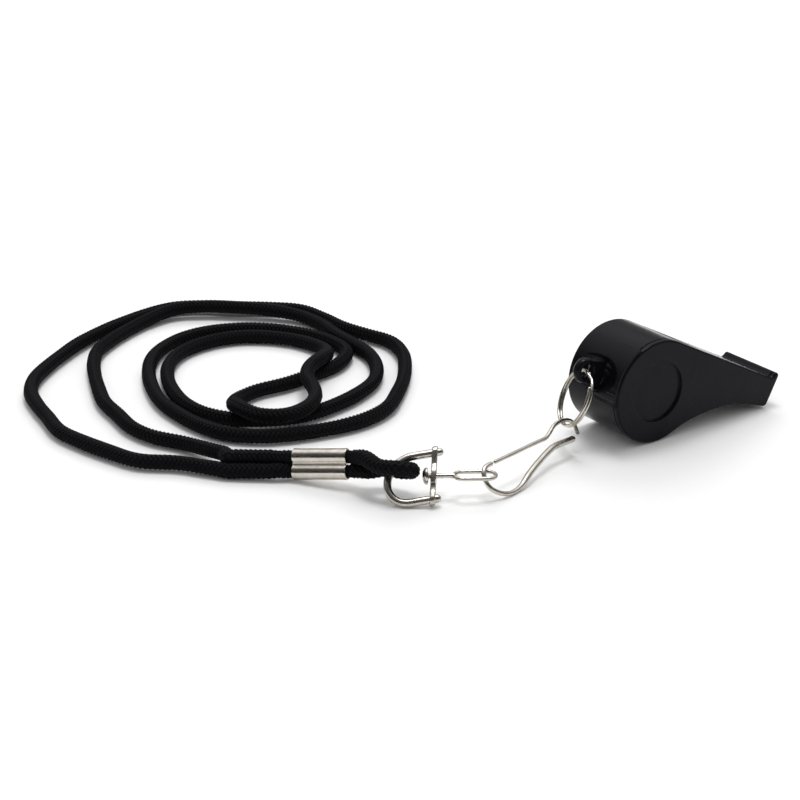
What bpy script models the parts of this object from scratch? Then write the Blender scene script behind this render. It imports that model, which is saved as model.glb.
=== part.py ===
"""Training whistle on a looped cord lanyard, lying at rest on a floor at z = 0.

Metres, +Z up. Lengths below are in millimetres and are scaled once, in make().
The whistle is modelled in its own frame (x towards the mouthpiece, y across, z up)
and placed lying on its barrel and the lower lip of its mouthpiece. A split ring joins
it to a snap hook, then come a swivel, a D-ring, a ferrule and the coiled cord.
"""

import math

import bmesh
import bpy
import numpy as np
from mathutils import Vector

MM = 0.001
SHIFT = np.array([0.389, -0.888, -0.006])   # puts the footprint's centre on the frame's origin


# ---------------------------------------------------------------- vectors and curves
def unit(vector):
    vector = np.asarray(vector, float)
    return vector / np.linalg.norm(vector)


def heading(yaw, pitch):
    """The unit vector turned by yaw from +X and raised by pitch."""
    return np.array([math.cos(yaw) * math.cos(pitch), math.sin(yaw) * math.cos(pitch),
                     math.sin(pitch)])


def across(direction, angle=0.0):
    """The unit vector square to a direction that leans by the angle from the level."""
    level = unit(np.cross([0, 0, 1.0], direction))
    return math.cos(angle) * level + math.sin(angle) * np.cross(direction, level)


def place(points, origin, *axes):
    """Points given by their distances along the axes, put into the lanyard's frame."""
    return origin + np.asarray(points, float) @ np.array(axes)


def polar(radius, angles, centre=(0, 0)):
    return np.column_stack([centre[0] + radius * np.cos(angles),
                            centre[1] + radius * np.sin(angles)])


def disc(radius, count, centre=(0, 0)):
    return polar(radius, np.arange(count) * 2 * math.pi / count, centre)


def smooth(x):
    """Eases from 0 to 1 as x goes from 0 to 1."""
    x = np.clip(x, 0, 1)
    return x * x * (3 - 2 * x)


def arc_lengths(path):
    return np.r_[0, np.cumsum(np.linalg.norm(np.diff(path, axis=0), axis=1))]


def resample(path, step):
    """The path at even spacing, as near to the step as divides its length."""
    along = arc_lengths(path)
    count = max(3, int(round(along[-1] / step)) + 1)
    stations = np.linspace(0, along[-1], count)
    return np.stack([np.interp(stations, along, column) for column in path.T], axis=1)


def blend(first, second, start, end, at):
    return (end - at) / (end - start) * first + (at - start) / (end - start) * second


def spline(points, step):
    """A centripetal Catmull-Rom curve through the points, at even spacing."""
    points = np.asarray(points, float)
    points = np.vstack([2 * points[0] - points[1], points, 2 * points[-1] - points[-2]])
    curve = []
    for p0, p1, p2, p3 in zip(points[:-3], points[1:-2], points[2:-1], points[3:]):
        gaps = [max(np.linalg.norm(b - a), 1e-9) ** 0.5 for a, b in ((p0, p1), (p1, p2), (p2, p3))]
        t0, t1, t2, t3 = np.cumsum([0] + gaps)
        for at in np.linspace(t1, t2, 12, endpoint=False):
            middle = blend(p1, p2, t1, t2, at)
            before = blend(blend(p0, p1, t0, t1, at), middle, t0, t2, at)
            after = blend(middle, blend(p2, p3, t2, t3, at), t1, t3, at)
            curve.append(blend(before, after, t1, t2, at))
    curve.append(points[-2])
    return resample(np.array(curve), step)


def tangents(path, closed=False):
    if closed:
        along = np.roll(path, -1, 0) - np.roll(path, 1, 0)
    else:
        along = np.gradient(path, axis=0)
    return along / np.linalg.norm(along, axis=1)[:, None]


def frames(along):
    """Two unit vectors square to each tangent, turning as little as possible."""
    start = np.cross(along[0], [0, 0, 1.0])
    if np.linalg.norm(start) < 0.1:
        start = np.cross(along[0], [0, 1.0, 0])
    side = [unit(start)]
    for tangent in along[1:]:
        side.append(unit(side[-1] - tangent * (side[-1] @ tangent)))
    side = np.array(side)
    return side, np.cross(along, side)


# ---------------------------------------------------------------- solids: (points, faces)
def loft(rings, closed=False):
    """A solid through rings of equal point count; closed joins the last to the first."""
    count, sides = len(rings), len(rings[0])
    faces = []
    for i in range(count if closed else count - 1):
        j = (i + 1) % count
        for k in range(sides):
            m = (k + 1) % sides
            faces.append((i * sides + k, i * sides + m, j * sides + m, j * sides + k))
    if not closed:
        faces.append(tuple(range(sides))[::-1])
        faces.append(tuple(range((count - 1) * sides, count * sides)))
    return np.concatenate(rings), faces


def tube(path, radius, sides=8, closed=False, dome=False):
    """A round rod along a path. dome rounds the two ends of an open one."""
    path = np.asarray(path, float)
    radius = np.broadcast_to(np.asarray(radius, float), (len(path),))
    along = tangents(path, closed)
    side, rise = frames(along)
    if closed:
        # Spread the frame's leftover twist round the loop, so that its ends meet.
        last = unit(side[-1] - along[0] * (side[-1] @ along[0]))
        twist = math.atan2(np.cross(last, side[0]) @ along[0], last @ side[0])
        turn = np.linspace(0, twist, len(path), endpoint=False)[:, None]
        side, rise = (side * np.cos(turn) + rise * np.sin(turn),
                      rise * np.cos(turn) - side * np.sin(turn))
    if dome:
        lean = np.radians([30.0, 60.0])
        reach, shrink = np.sin(lean), np.cos(lean)
        path = np.vstack([path[0] - np.outer(radius[0] * reach[::-1], along[0]), path,
                          path[-1] + np.outer(radius[-1] * reach, along[-1])])
        radius = np.r_[radius[0] * shrink[::-1], radius, radius[-1] * shrink]
        side, rise = (np.pad(rows, ((2, 2), (0, 0)), mode="edge") for rows in (side, rise))
    angles = np.arange(sides) * 2 * math.pi / sides + math.pi / sides
    rings = (np.cos(angles)[None, :, None] * side[:, None, :]
             + np.sin(angles)[None, :, None] * rise[:, None, :])
    return loft(path[:, None, :] + rings * radius[:, None, None], closed)


def rod(origin, direction, profile, sides=16):
    """A straight turned rod; the profile is (distance from the origin, radius)."""
    path = [origin + direction * distance for distance, _ in profile]
    return tube(path, [radius for _, radius in profile], sides)


def inset(outline, amount):
    """An outline moved towards its inside; it runs anticlockwise."""
    points = np.asarray(outline, float)
    along = tangents(points, closed=True)
    return points + amount * np.stack([-along[:, 1], along[:, 0]], axis=1)


def chamfered(low, high, edge):
    """Layers (offset, inset) of a plate with both its edges chamfered."""
    return [(low, edge), (low + edge, 0.0), (high - edge, 0.0), (high, edge)]


# ---------------------------------------------------------------- objects and materials
def make(name, solid, mat=None, origin=(0, 0, 0)):
    """An object from a solid in millimetres, with its origin on the point given."""
    verts, faces = solid
    origin = np.asarray(origin, float) + SHIFT
    verts = (np.asarray(verts, float) + SHIFT - origin) * MM
    mesh = bpy.data.meshes.new(name)
    mesh.from_pydata([tuple(v) for v in verts], [], faces)
    bm = bmesh.new()
    bm.from_mesh(mesh)
    bmesh.ops.recalc_face_normals(bm, faces=bm.faces)
    if bm.calc_volume(signed=True) < 0:
        bmesh.ops.reverse_faces(bm, faces=bm.faces)
    bm.to_mesh(mesh)
    bm.free()
    obj = bpy.data.objects.new(name, mesh)
    obj.location = Vector(origin * MM)
    bpy.context.scene.collection.objects.link(obj)
    if mat:
        mesh.materials.append(mat)
    return obj


def combine(obj, name, solid, operation):
    """Joins a hidden helper solid to an object with a boolean modifier."""
    helper = make(name, solid)
    helper.hide_render = True
    helper.display_type = "WIRE"
    mod = obj.modifiers.new(name, "BOOLEAN")
    mod.operation = operation
    mod.solver = "EXACT"
    mod.object = helper


def cut(obj, name, solid):
    combine(obj, name, solid, "DIFFERENCE")


def add(obj, name, solid):
    combine(obj, name, solid, "UNION")


def material(name, colour, roughness, metallic=0.0):
    mat = bpy.data.materials.new(name)
    mat.use_nodes = True
    bsdf = mat.node_tree.nodes["Principled BSDF"]
    bsdf.inputs["Base Color"].default_value = (*colour, 1.0)
    bsdf.inputs["Roughness"].default_value = roughness
    bsdf.inputs["Metallic"].default_value = metallic
    mat.diffuse_color = (*colour, 1.0)
    return mat


def plastic(name, roughness):
    return material(name, colour=(0.012, 0.011, 0.013), roughness=roughness)


def cork(name):
    return material(name, colour=(0.42, 0.27, 0.15), roughness=0.8)


def nickel(name, roughness):
    return material(name, colour=(0.62, 0.60, 0.57), roughness=roughness, metallic=1.0)


def cord(name):
    return material(name, colour=(0.02, 0.019, 0.022), roughness=0.85)


# ---------------------------------------------------------------- whistle
BARREL_R = 12.75
HALF_W = 9.1             # half of the width
TIP_X = 38.0             # barrel centre to mouthpiece tip
WHISTLE_AT = np.array([55.6, -18.3, 12.78])
WHISTLE_YAW, WHISTLE_PITCH = math.radians(35.2), math.radians(27.5)
EDGE, EDGE_MID = 0.55, 0.16      # rounding of the outer edges, and its middle point
COVER_T = 1.3
SEAM = 0.25              # gap between cover and body
BODY_Y = -HALF_W + COVER_T + SEAM    # the body's face under the cover
CHAMBER_R = 10.4
FAR_WALL = 1.4
DUCT_WALL = FAR_WALL + 0.4
RECESS_R, RECESS_D = 7.35, 0.7

LUG_R, LUG_HOLE, LUG_T, LUG_EDGE = 3.1, 1.6, 2.3, 0.3
LUG_AT_R, LUG_ANGLE = 16.5, math.radians(185.5)    # where the ring hole is
LUG_ROOT_R, LUG_ROOT_HALF = 11.0, 3.4
POCKET_AT_R, POCKET_ANGLE, POCKET_Y = 13.4, math.radians(184.5), 0.2
POCKET_HALF = np.array([3.6, 4.5, 7.6])   # half sizes: in depth, round the barrel, across it
POCKET_COVER_GAP = 0.25
PAD_R, PAD_OUTER_R = 8.8, 11.2            # the thickened wall behind the pocket

TONGUE_FROM = 144.0      # degrees round the barrel, from the mouthpiece
TONGUE_STEPS = [(198.5, 13.4), (206.0, 13.27), (213.0, 13.14)]   # (end in degrees, radius)
TONGUE_STEP_GAP = 0.6    # degrees between one step and the next
TONGUE_IN, TONGUE_Y = 12.95, -1.0
SKIRT_OVERLAP, SKIRT_DEPTH = 0.12, 0.9    # into the tongue, and into the barrel's outline
PEA_R, PEA_ORBIT = 3.9, 4.3

# (x, z) along the hollowed underside, from the barrel to the tip.
UNDERSIDE = [(10.05, -7.85), (12.9, -4.9), (16.0, -2.4), (20.0, 0.15), (24.4, 2.5), (29.0, 4.0),
             (34.0, 4.95), (TIP_X - 1.6, 5.3), (TIP_X - 0.6, 5.5)]
TIP_FACE = [(TIP_X - 0.05, 6.1), (TIP_X, 8.0), (TIP_X, 13.5)]
BEAD_R, BEAD_Z = 0.8, 13.6
BEAD_FOOT = [(TIP_X - 1.75, 13.3), (TIP_X - 2.2, 12.78)]
TOP_X = (30.0, 22.0, 14.0, 7.0)
# (x, z) corners of the windway, which narrows from the mouth, and of the slot in the top.
WINDWAY = [(39.5, 8.3), (39.5, 11.3), (9.0, 11.35), (9.0, 10.1)]
SLOT = [(10.2, 14.5), (2.8, 14.5), (2.8, 12.7), (6.3, 9.9), (6.6, 7.4), (10.2, 8.6)]
SLOT_Y = (-HALF_W + 2.6, HALF_W - 2.4)

WHISTLE_X = heading(WHISTLE_YAW, -WHISTLE_PITCH)
WHISTLE_Y = across(WHISTLE_X)
WHISTLE_Z = np.cross(WHISTLE_X, WHISTLE_Y)
LUG_C = LUG_AT_R * np.array([math.cos(LUG_ANGLE), math.sin(LUG_ANGLE)])


def whistle(points, y):
    """Points (x, z) at one y of the whistle's frame, in the lanyard's frame."""
    return place(points, WHISTLE_AT + y * WHISTLE_Y, WHISTLE_X, WHISTLE_Z)


LUG_WORLD = whistle(LUG_C, 0.0)


def slab(outline, layers):
    """An (x, z) outline lofted across the whistle; layers are (y, inset)."""
    return loft([whistle(inset(outline, amount), y) for y, amount in layers])


def prism(outline, y_from, y_to):
    return slab(outline, [(y_from, 0.0), (y_to, 0.0)])


def ellipsoid(centre, y, angle, half_sizes, bands, sides):
    """Half sizes are along the angle in x, z, square to it in x, z, and in y."""
    out = np.array([math.cos(angle), math.sin(angle)])
    around = np.array([-out[1], out[0]])
    circle = disc(1.0, sides)
    rings = []
    for i in range(1, bands):
        latitude = math.pi * i / bands - math.pi / 2
        flat = circle * half_sizes[:2] * math.cos(latitude)
        rings.append(whistle(place(flat, centre, out, around),
                             y + half_sizes[2] * math.sin(latitude)))
    return loft(rings)


def pocket(grow):
    """The deep oval pocket in the back of the barrel."""
    centre = POCKET_AT_R * np.array([math.cos(POCKET_ANGLE), math.sin(POCKET_ANGLE)])
    return ellipsoid(centre, POCKET_Y, POCKET_ANGLE, POCKET_HALF + grow, bands=12, sides=20)


def side_outline():
    """Underside, tip, bite bead, flat top and barrel, anticlockwise."""
    bead = polar(BEAD_R, np.radians([36, 72, 108, 144]), (TIP_X - BEAD_R, BEAD_Z))
    top = [(x, BARREL_R) for x in TOP_X]
    barrel = polar(BARREL_R, np.radians(np.arange(90, 320, 6.0)))
    return np.vstack([spline(UNDERSIDE, 1.1), TIP_FACE, bead, BEAD_FOOT, top, barrel])


def lug_tab():
    """A round-ended tab rooted in the barrel wall."""
    end = polar(LUG_R, LUG_ANGLE + np.radians(np.arange(-100, 101, 20)), LUG_C)
    root = LUG_C * (LUG_ROOT_R / LUG_AT_R)
    side = LUG_ROOT_HALF * np.array([-math.sin(LUG_ANGLE), math.cos(LUG_ANGLE)])
    return slab(np.vstack([end, root + side, root - side]),
                chamfered(-LUG_T / 2, LUG_T / 2, LUG_EDGE))


def build_body():
    layers = [(BODY_Y, 0.0), (HALF_W - EDGE, 0.0), (HALF_W - EDGE_MID, EDGE_MID), (HALF_W, EDGE)]
    body = make("whistle_body", slab(side_outline(), layers),
                plastic("whistle_black", roughness=0.16), LUG_WORLD)
    cut(body, "cut_chamber", prism(disc(CHAMBER_R, 48), BODY_Y - 1, HALF_W - FAR_WALL))
    back = np.radians(np.arange(158, 212, 6.0))
    pad = np.vstack([polar(PAD_OUTER_R, back), polar(PAD_R, back)[::-1]])
    add(body, "add_pad", prism(pad, BODY_Y + 0.02, HALF_W - 0.6))
    cut(body, "cut_windway", prism(WINDWAY, BODY_Y - 1, HALF_W - DUCT_WALL))
    cut(body, "cut_slot", prism(SLOT, *SLOT_Y))
    # The lug stands in the pocket, so it is added after the pocket is cut.
    cut(body, "cut_pocket", pocket(0.0))
    add(body, "add_lug", lug_tab())
    cut(body, "cut_lug_hole", prism(disc(LUG_HOLE, 16, LUG_C), -4, 4))


def tongue_outlines():
    """The stepped tongue round the back of the barrel, and the skirt that roots it."""
    outer, begin = [], TONGUE_FROM
    for end, radius in TONGUE_STEPS:
        count = max(3, int((end - begin) / 6) + 1)
        outer.append(polar(radius, np.radians(np.linspace(begin, end, count))))
        begin = end + TONGUE_STEP_GAP
    whole = np.radians(np.linspace(TONGUE_FROM, TONGUE_STEPS[-1][0], 13))
    tongue = np.vstack(outer + [polar(TONGUE_IN, whole[::-1])])
    skirt = np.vstack([polar(TONGUE_IN + SKIRT_OVERLAP, whole),
                       polar(BARREL_R - SKIRT_DEPTH, whole[::-1])])
    return tongue, skirt


def build_side_cover():
    """The cover on the -y side, with a round recess and the tongue."""
    layers = [(-HALF_W, EDGE), (-HALF_W + EDGE_MID, EDGE_MID), (-HALF_W + EDGE, 0.0),
              (-HALF_W + COVER_T, 0.0)]
    cover = make("whistle_side_cover", slab(side_outline(), layers),
                 plastic("cover_black", roughness=0.18), LUG_WORLD)
    tongue, skirt = tongue_outlines()
    add(cover, "add_tongue", prism(tongue, -HALF_W + 0.35, TONGUE_Y))
    add(cover, "add_skirt", prism(skirt, -HALF_W + 0.45, -HALF_W + COVER_T - 0.05))
    cut(cover, "cut_pocket_edge", pocket(POCKET_COVER_GAP))
    cut(cover, "cut_recess", prism(disc(RECESS_R, 48), -HALF_W - 1, -HALF_W + RECESS_D))


def build_pea():
    """The pea, resting low in the chamber."""
    down = math.radians(-90) + WHISTLE_PITCH
    centre = PEA_ORBIT * np.array([math.cos(down), math.sin(down)])
    ball = ellipsoid(centre, 0.0, 0.0, np.full(3, PEA_R), bands=10, sides=16)
    make("whistle_pea", ball, cork("pea_cork"), WHISTLE_AT)


# ---------------------------------------------------------------- D-ring and swivel
D_AT = np.array([-2.78, -57.7, 4.13])    # apex of the D-ring's bow
D_YAW, D_TILT, D_PITCH = math.radians(-2.0), math.radians(45.0), math.radians(1.8)
D_ROLL, D_SKEW = math.radians(9.0), math.radians(3.0)   # apex down; bar out of square with bow
D_HALF, D_WIRE, D_BAR_AT = 5.5, 0.93, 10.4
BOW_LEG = (8.4, 11.5)    # stations along each straight leg of the bow
BOW_ANGLE = math.radians(35.0)           # where on the bow the cord goes round it
BAR_T, BAR_EDGE, BAR_END_R, BAR_HOLE = 1.3, 0.2, 1.5, 1.13
BAR_WAIST = np.array([(2.6, 1.0), (1.5, 1.65), (0.0, 1.8), (-1.5, 1.65), (-2.6, 1.0)])
SHANK_R, SHANK_HOLE, EYE_WIRE, EYE_HALF = 0.55, 0.95, 0.46, 1.92
EYE_FROM, EYE_TO = 4.6, 13.9             # ends of the eye, from the bar
EYE_DIR = unit([1.0, 0.066, -0.014])
# (distance from the bar along EYE_DIR, radius) of the swivel's head.
SWIVEL_HEAD = [(-2.35, 0.9), (-2.2, 1.45), (-1.85, 1.9), (-1.5, 2.0), (-1.3, 1.7)]


def d_axes():
    """Axes from apex to bar, along the bar, and square to both."""
    along = heading(D_YAW, D_PITCH)
    side = across(along, D_TILT)
    along, side = (math.cos(D_ROLL) * along + math.sin(D_ROLL) * side,
                   math.cos(D_SKEW) * side + math.sin(D_SKEW) * along)
    return along, side, unit(np.cross(along, side))


D_ALONG, D_SIDE, D_NORMAL = d_axes()


def d_plane(points):
    return place(points, D_AT, D_ALONG, D_SIDE)


BOW_AT = d_plane((D_HALF * (1 - math.cos(BOW_ANGLE)), D_HALF * math.sin(BOW_ANGLE)))
BAR_CENTRE = D_AT + D_BAR_AT * D_ALONG
EYE_END = BAR_CENTRE + EYE_DIR * EYE_TO


def build_d_ring_bow():
    angles = np.radians(np.linspace(-90, 90, 17))
    arc = np.column_stack([D_HALF * (1 - np.cos(angles)), D_HALF * np.sin(angles)])
    low_leg = [(x, -D_HALF) for x in BOW_LEG[::-1]]
    high_leg = [(x, D_HALF) for x in BOW_LEG]
    make("d_ring_bow", tube(d_plane(np.vstack([low_leg, arc, high_leg])), D_WIRE, 10),
         nickel("bow_nickel", roughness=0.24), BOW_AT)


def build_d_ring_bar():
    """A flat bar with round ends and a swollen middle, drilled for the bow and the shank."""
    angles = np.radians(np.linspace(-90, 90, 9))
    outline = np.vstack([polar(BAR_END_R, angles, (D_HALF, 0)), BAR_WAIST,
                         polar(BAR_END_R, angles + math.pi, (-D_HALF, 0)), -BAR_WAIST])
    layers = chamfered(D_BAR_AT - BAR_T / 2, D_BAR_AT + BAR_T / 2, BAR_EDGE)
    rings = [place(inset(outline, amount), D_AT + offset * D_ALONG, D_SIDE, D_NORMAL)
             for offset, amount in layers]
    bar = make("d_ring_bar", loft(rings), nickel("bar_nickel", roughness=0.26), BOW_AT)
    for name, side, radius in (("cut_bar_low", -D_HALF, BAR_HOLE),
                               ("cut_bar_mid", 0.0, SHANK_HOLE),
                               ("cut_bar_high", D_HALF, BAR_HOLE)):
        centre = d_plane((D_BAR_AT, side))
        cut(bar, name, rod(centre, D_ALONG, [(-3, radius), (3, radius)]))


def build_swivel():
    """A long wire eye on a shank whose head is on the bow's side of the bar."""
    far_end = np.radians(np.arange(-90, 91, 22.5))
    near_end = np.radians(np.arange(90, 271, 22.5))
    eye = np.vstack([polar(EYE_HALF, far_end, (EYE_TO - EYE_HALF, 0)),
                     polar(EYE_HALF, near_end, (EYE_FROM + EYE_HALF, 0))])
    path = place(eye, BAR_CENTRE, EYE_DIR, across(EYE_DIR))
    swivel = make("swivel_eye", tube(path, EYE_WIRE, 8, closed=True),
                  nickel("swivel_nickel", roughness=0.25), BAR_CENTRE)
    shank = [(-2.0, SHANK_R), (EYE_FROM + 0.05, SHANK_R)]
    add(swivel, "add_shank", rod(BAR_CENTRE, EYE_DIR, shank, 12))
    add(swivel, "add_head", rod(BAR_CENTRE, EYE_DIR, SWIVEL_HEAD, 12))


# ---------------------------------------------------------------- snap hook
HOOK_WIRE, LIMB_WIRE, SPRING_WIRE = 0.56, 0.78, 0.47
HOOK_AT = np.array([18.9, -56.3, 5.1])
HOOK_TO = np.array([38.46, -32.92, 6.0])
HOOK_TILT = math.radians(50.0)
HOOK_ALONG = unit(HOOK_TO - HOOK_AT)
HOOK_SIDE = across(HOOK_ALONG, HOOK_TILT)
SPRING_ORIGIN = (4.6, 1.8)
# (along, side) of the wire centre-lines in the hook's plane.
LIMB = [(31.2, -2.45), (29.3, -2.3), (26.8, -2.0), (24.2, -1.9), (21.4, -2.3), (18.2, -3.0),
        (14.9, -3.8), (11.9, -4.7), (9.0, -5.7), (6.4, -6.1), (4.0, -5.9), (2.0, -5.1),
        (0.6, -4.0), (-0.3, -2.8), (-0.55, -1.6), (-0.3, -0.3), (0.3, 0.9), (1.2, 1.6),
        (2.3, 1.9), (3.7, 1.85)]
SPRING = [(5.3, 1.78), (8.0, 1.6), (13.8, 1.3), (18.0, 1.1), (21.2, 0.9), (23.5, 0.8),
          (25.0, 1.2), (26.6, 1.8), (28.2, 2.35), (30.0, 2.5), (32.0, 2.3), (33.7, 1.6),
          (34.4, 0.5), (34.2, -0.7), (33.7, -2.0)]


def hook_plane(points):
    return place(points, HOOK_AT, HOOK_ALONG, HOOK_SIDE)


def build_snap_hook():
    """The rigid limb: thick along its free arm, thinner round the bend."""
    limb = spline(LIMB, 1.0)
    along, side = limb.T
    thick = np.clip((along - 6.0) / 6.0, 0, 1) * (side < -1.0)
    radius = HOOK_WIRE + (LIMB_WIRE - HOOK_WIRE) * thick
    make("snap_hook", tube(hook_plane(limb), radius, 8, dome=True),
         nickel("hook_nickel", roughness=0.22), EYE_END)


def build_hook_spring():
    make("snap_hook_spring", tube(hook_plane(spline(SPRING, 0.9)), SPRING_WIRE, 8, dome=True),
         nickel("spring_nickel", roughness=0.22), hook_plane(SPRING_ORIGIN))


# ---------------------------------------------------------------- split ring
RING_WIRE, RING_PITCH = 0.33, 0.72
RING_ON_HOOK = (31.7, 1.0)               # where the ring crosses the hook's plane
RING_LEAN = np.array([0.38, -0.85, 0.35])
RING_BEGIN = math.radians(62)
RING_STEP_AT, RING_STEP_LONG = 318, 24   # degrees of turn where the wire steps to its next coil


def build_split_ring():
    """Nearly two turns of wire, from the whistle's lug to the hook."""
    low = hook_plane(RING_ON_HOOK)
    centre = (LUG_WORLD + low) / 2
    radius = np.linalg.norm(LUG_WORLD - low) / 2
    up = unit(LUG_WORLD - low)
    side = unit(RING_LEAN - up * (RING_LEAN @ up))
    degrees = np.arange(0, 361 + RING_STEP_AT, 8.0)
    rise = RING_PITCH * (smooth((degrees - RING_STEP_AT) / RING_STEP_LONG) - 0.5)
    circle = polar(radius, np.radians(degrees) + RING_BEGIN)
    coil = place(np.column_stack([circle, rise]), centre, up, side, np.cross(up, side))
    make("split_ring", tube(coil, RING_WIRE, 8), nickel("ring_nickel", roughness=0.2), low)


# ---------------------------------------------------------------- ferrule and cord tail
CORD_R = 1.75
CORD_SPACING = 3.82
HALF_LANE = CORD_SPACING / 2
TAIL_SIDES, COIL_SIDES = 10, 8
RUN_FROM = np.array([-36.0, -45.0, 3.1])     # joint between the coil and the straight runs
RUN_TO = np.array([-28.6, -45.5, 3.25])      # joint between the runs and the tail
RUN_DIR = unit(RUN_TO - RUN_FROM)
JOINT_GAP = 0.9                              # from a joint to the end of a cord
RUN_LEAN, FERRULE_LEAN, BOW_LEAN = np.radians([42, 65, 152])   # lean of the pair of cords
FERRULE_FROM = np.array([-24.1, -46.0, 3.5])
FERRULE_TO = np.array([-11.7, -50.1, 5.4])
FERRULE_LONG = np.linalg.norm(FERRULE_TO - FERRULE_FROM)
FERRULE_DIR = unit(FERRULE_TO - FERRULE_FROM)
FERRULE_ACROSS = across(FERRULE_DIR, FERRULE_LEAN)
FERRULE_LANE, FERRULE_R, FERRULE_BORE, CRIMPED_R = 3.45, 1.85, 1.52, 1.26
FERRULE_EDGE, FERRULE_EDGE_IN = 0.25, 0.22   # length and depth of the end chamfers
WEB_HALF, WEB_SHORT = (1.3, 1.25), 0.12      # half sizes of the web, and its set-back
BOW_LOOP = 3.2                               # radius of the cord's loop round the bow
LOOP_SLACK = 0.8
LOOP_TURN = math.radians(22.0)
LOOP_OUT = unit([1.0, -0.35, 0.12])
BOW_ALONG = unit(math.sin(BOW_ANGLE) * D_ALONG + math.cos(BOW_ANGLE) * D_SIDE)


def build_ferrule():
    """Two sleeves side by side, joined by a web and bored for the cords."""
    profile = [(0.0, FERRULE_R - FERRULE_EDGE_IN), (FERRULE_EDGE, FERRULE_R),
               (FERRULE_LONG - FERRULE_EDGE, FERRULE_R),
               (FERRULE_LONG, FERRULE_R - FERRULE_EDGE_IN)]
    low, high = (FERRULE_FROM + sign * FERRULE_LANE / 2 * FERRULE_ACROSS for sign in (-1, 1))
    ferrule = make("ferrule", rod(low, FERRULE_DIR, profile, 20),
                   nickel("ferrule_nickel", roughness=0.28), RUN_TO)
    add(ferrule, "add_sleeve", rod(high, FERRULE_DIR, profile, 20))
    corners = np.array([(-1, -1), (1, -1), (1, 1), (-1, 1)]) * WEB_HALF
    web = [place(corners, FERRULE_FROM + FERRULE_DIR * at,
                 FERRULE_ACROSS, np.cross(FERRULE_DIR, FERRULE_ACROSS))
           for at in (WEB_SHORT, FERRULE_LONG - WEB_SHORT)]
    add(ferrule, "add_web", loft(web))
    bore = [(-2, FERRULE_BORE), (FERRULE_LONG + 2, FERRULE_BORE)]
    for name, centre in (("cut_lane_low", low), ("cut_lane_high", high)):
        cut(ferrule, name, rod(centre, FERRULE_DIR, bore))


def lane_pair(point, direction, lean, half):
    """The two cord centres on either side of a point."""
    side = across(direction, lean)
    return point - side * half, point + side * half


def tail_lanes():
    """Both cords from the runs, through the ferrule, to the bow; and their radius."""
    middle = spline([RUN_TO + RUN_DIR * 0.1, FERRULE_FROM, FERRULE_TO,
                     BOW_AT - 0.15 * LOOP_OUT], 0.8)
    stations = arc_lengths(middle)
    enter, leave = (stations[np.argmin(np.linalg.norm(middle - end, axis=1))]
                    for end in (FERRULE_FROM, FERRULE_TO))
    spread = stations[-1] - leave - 1.6      # length over which the pair opens to the loop
    low, high, radii = [], [], []
    for point, direction, at in zip(middle, tangents(middle), stations):
        crimp = smooth((at - enter + 1.2) / 1.2) * smooth((leave + 3.0 - at) / 3.0)
        lean = RUN_LEAN + (FERRULE_LEAN - RUN_LEAN) * smooth((at - 0.5) / (enter - 0.7))
        lean += (BOW_LEAN - FERRULE_LEAN) * smooth((at - leave + 0.2) / spread)
        half = HALF_LANE + (FERRULE_LANE / 2 - HALF_LANE) * smooth(at / enter)
        half += (BOW_LOOP - FERRULE_LANE / 2) * smooth((at - leave - 1.0) / spread)
        if enter - 0.2 < at < leave + 0.2:
            # Inside the ferrule the cords run straight.
            point, direction = FERRULE_FROM + FERRULE_DIR * (at - enter), FERRULE_DIR
        first, second = lane_pair(point, direction, lean, half)
        low.append(first)
        high.append(second)
        radii.append(CORD_R + (CRIMPED_R - CORD_R) * crimp)
    return low, high, radii


def build_cord_tail():
    """One cord: out along the low lane, round the bow and back along the high lane."""
    low, high, radii = tail_lanes()
    wire_way = unit(BOW_ALONG - (BOW_ALONG @ LOOP_OUT) * LOOP_OUT)
    side = np.cross(LOOP_OUT, wire_way)
    if side @ (high[-1] - low[-1]) < 0:
        side = -side
    turn_sign = 1 if side[2] > 0 else -1
    side = math.cos(LOOP_TURN) * side - math.sin(LOOP_TURN) * wire_way * turn_sign
    half_turn = polar(BOW_LOOP, np.radians(np.arange(-90, 91, 22.5)))
    loop = place(half_turn, BOW_AT + LOOP_SLACK * LOOP_OUT, LOOP_OUT, side)
    path = np.vstack([low[:-1], loop, high[:-1][::-1]])
    radius = np.r_[radii[:-1], np.full(len(loop), CORD_R), radii[:-1][::-1]]
    make("cord_tail", tube(path[1:-1], radius[1:-1], TAIL_SIDES), cord("cord_black"), RUN_TO)


def build_cord_runs():
    """Two short straight cords between the coil and the tail."""
    start = RUN_FROM + RUN_DIR * JOINT_GAP
    end = RUN_TO - RUN_DIR * JOINT_GAP
    stations = [lane_pair(point, RUN_DIR, RUN_LEAN, HALF_LANE)
                for point in (start, (start + end) / 2, end)]
    for name, path in zip(("cord_run_a", "cord_run_b"), zip(*stations)):
        make(name, tube(path, CORD_R, TAIL_SIDES), cord(name + "_black"), RUN_FROM)


# ---------------------------------------------------------------- coiled cord
COIL_ORIGIN = (-45, 10, 0)
LAID_STEP, COIL_STEP = 2.4, 3.9      # spacing of the points while settling, and in the mesh

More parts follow.
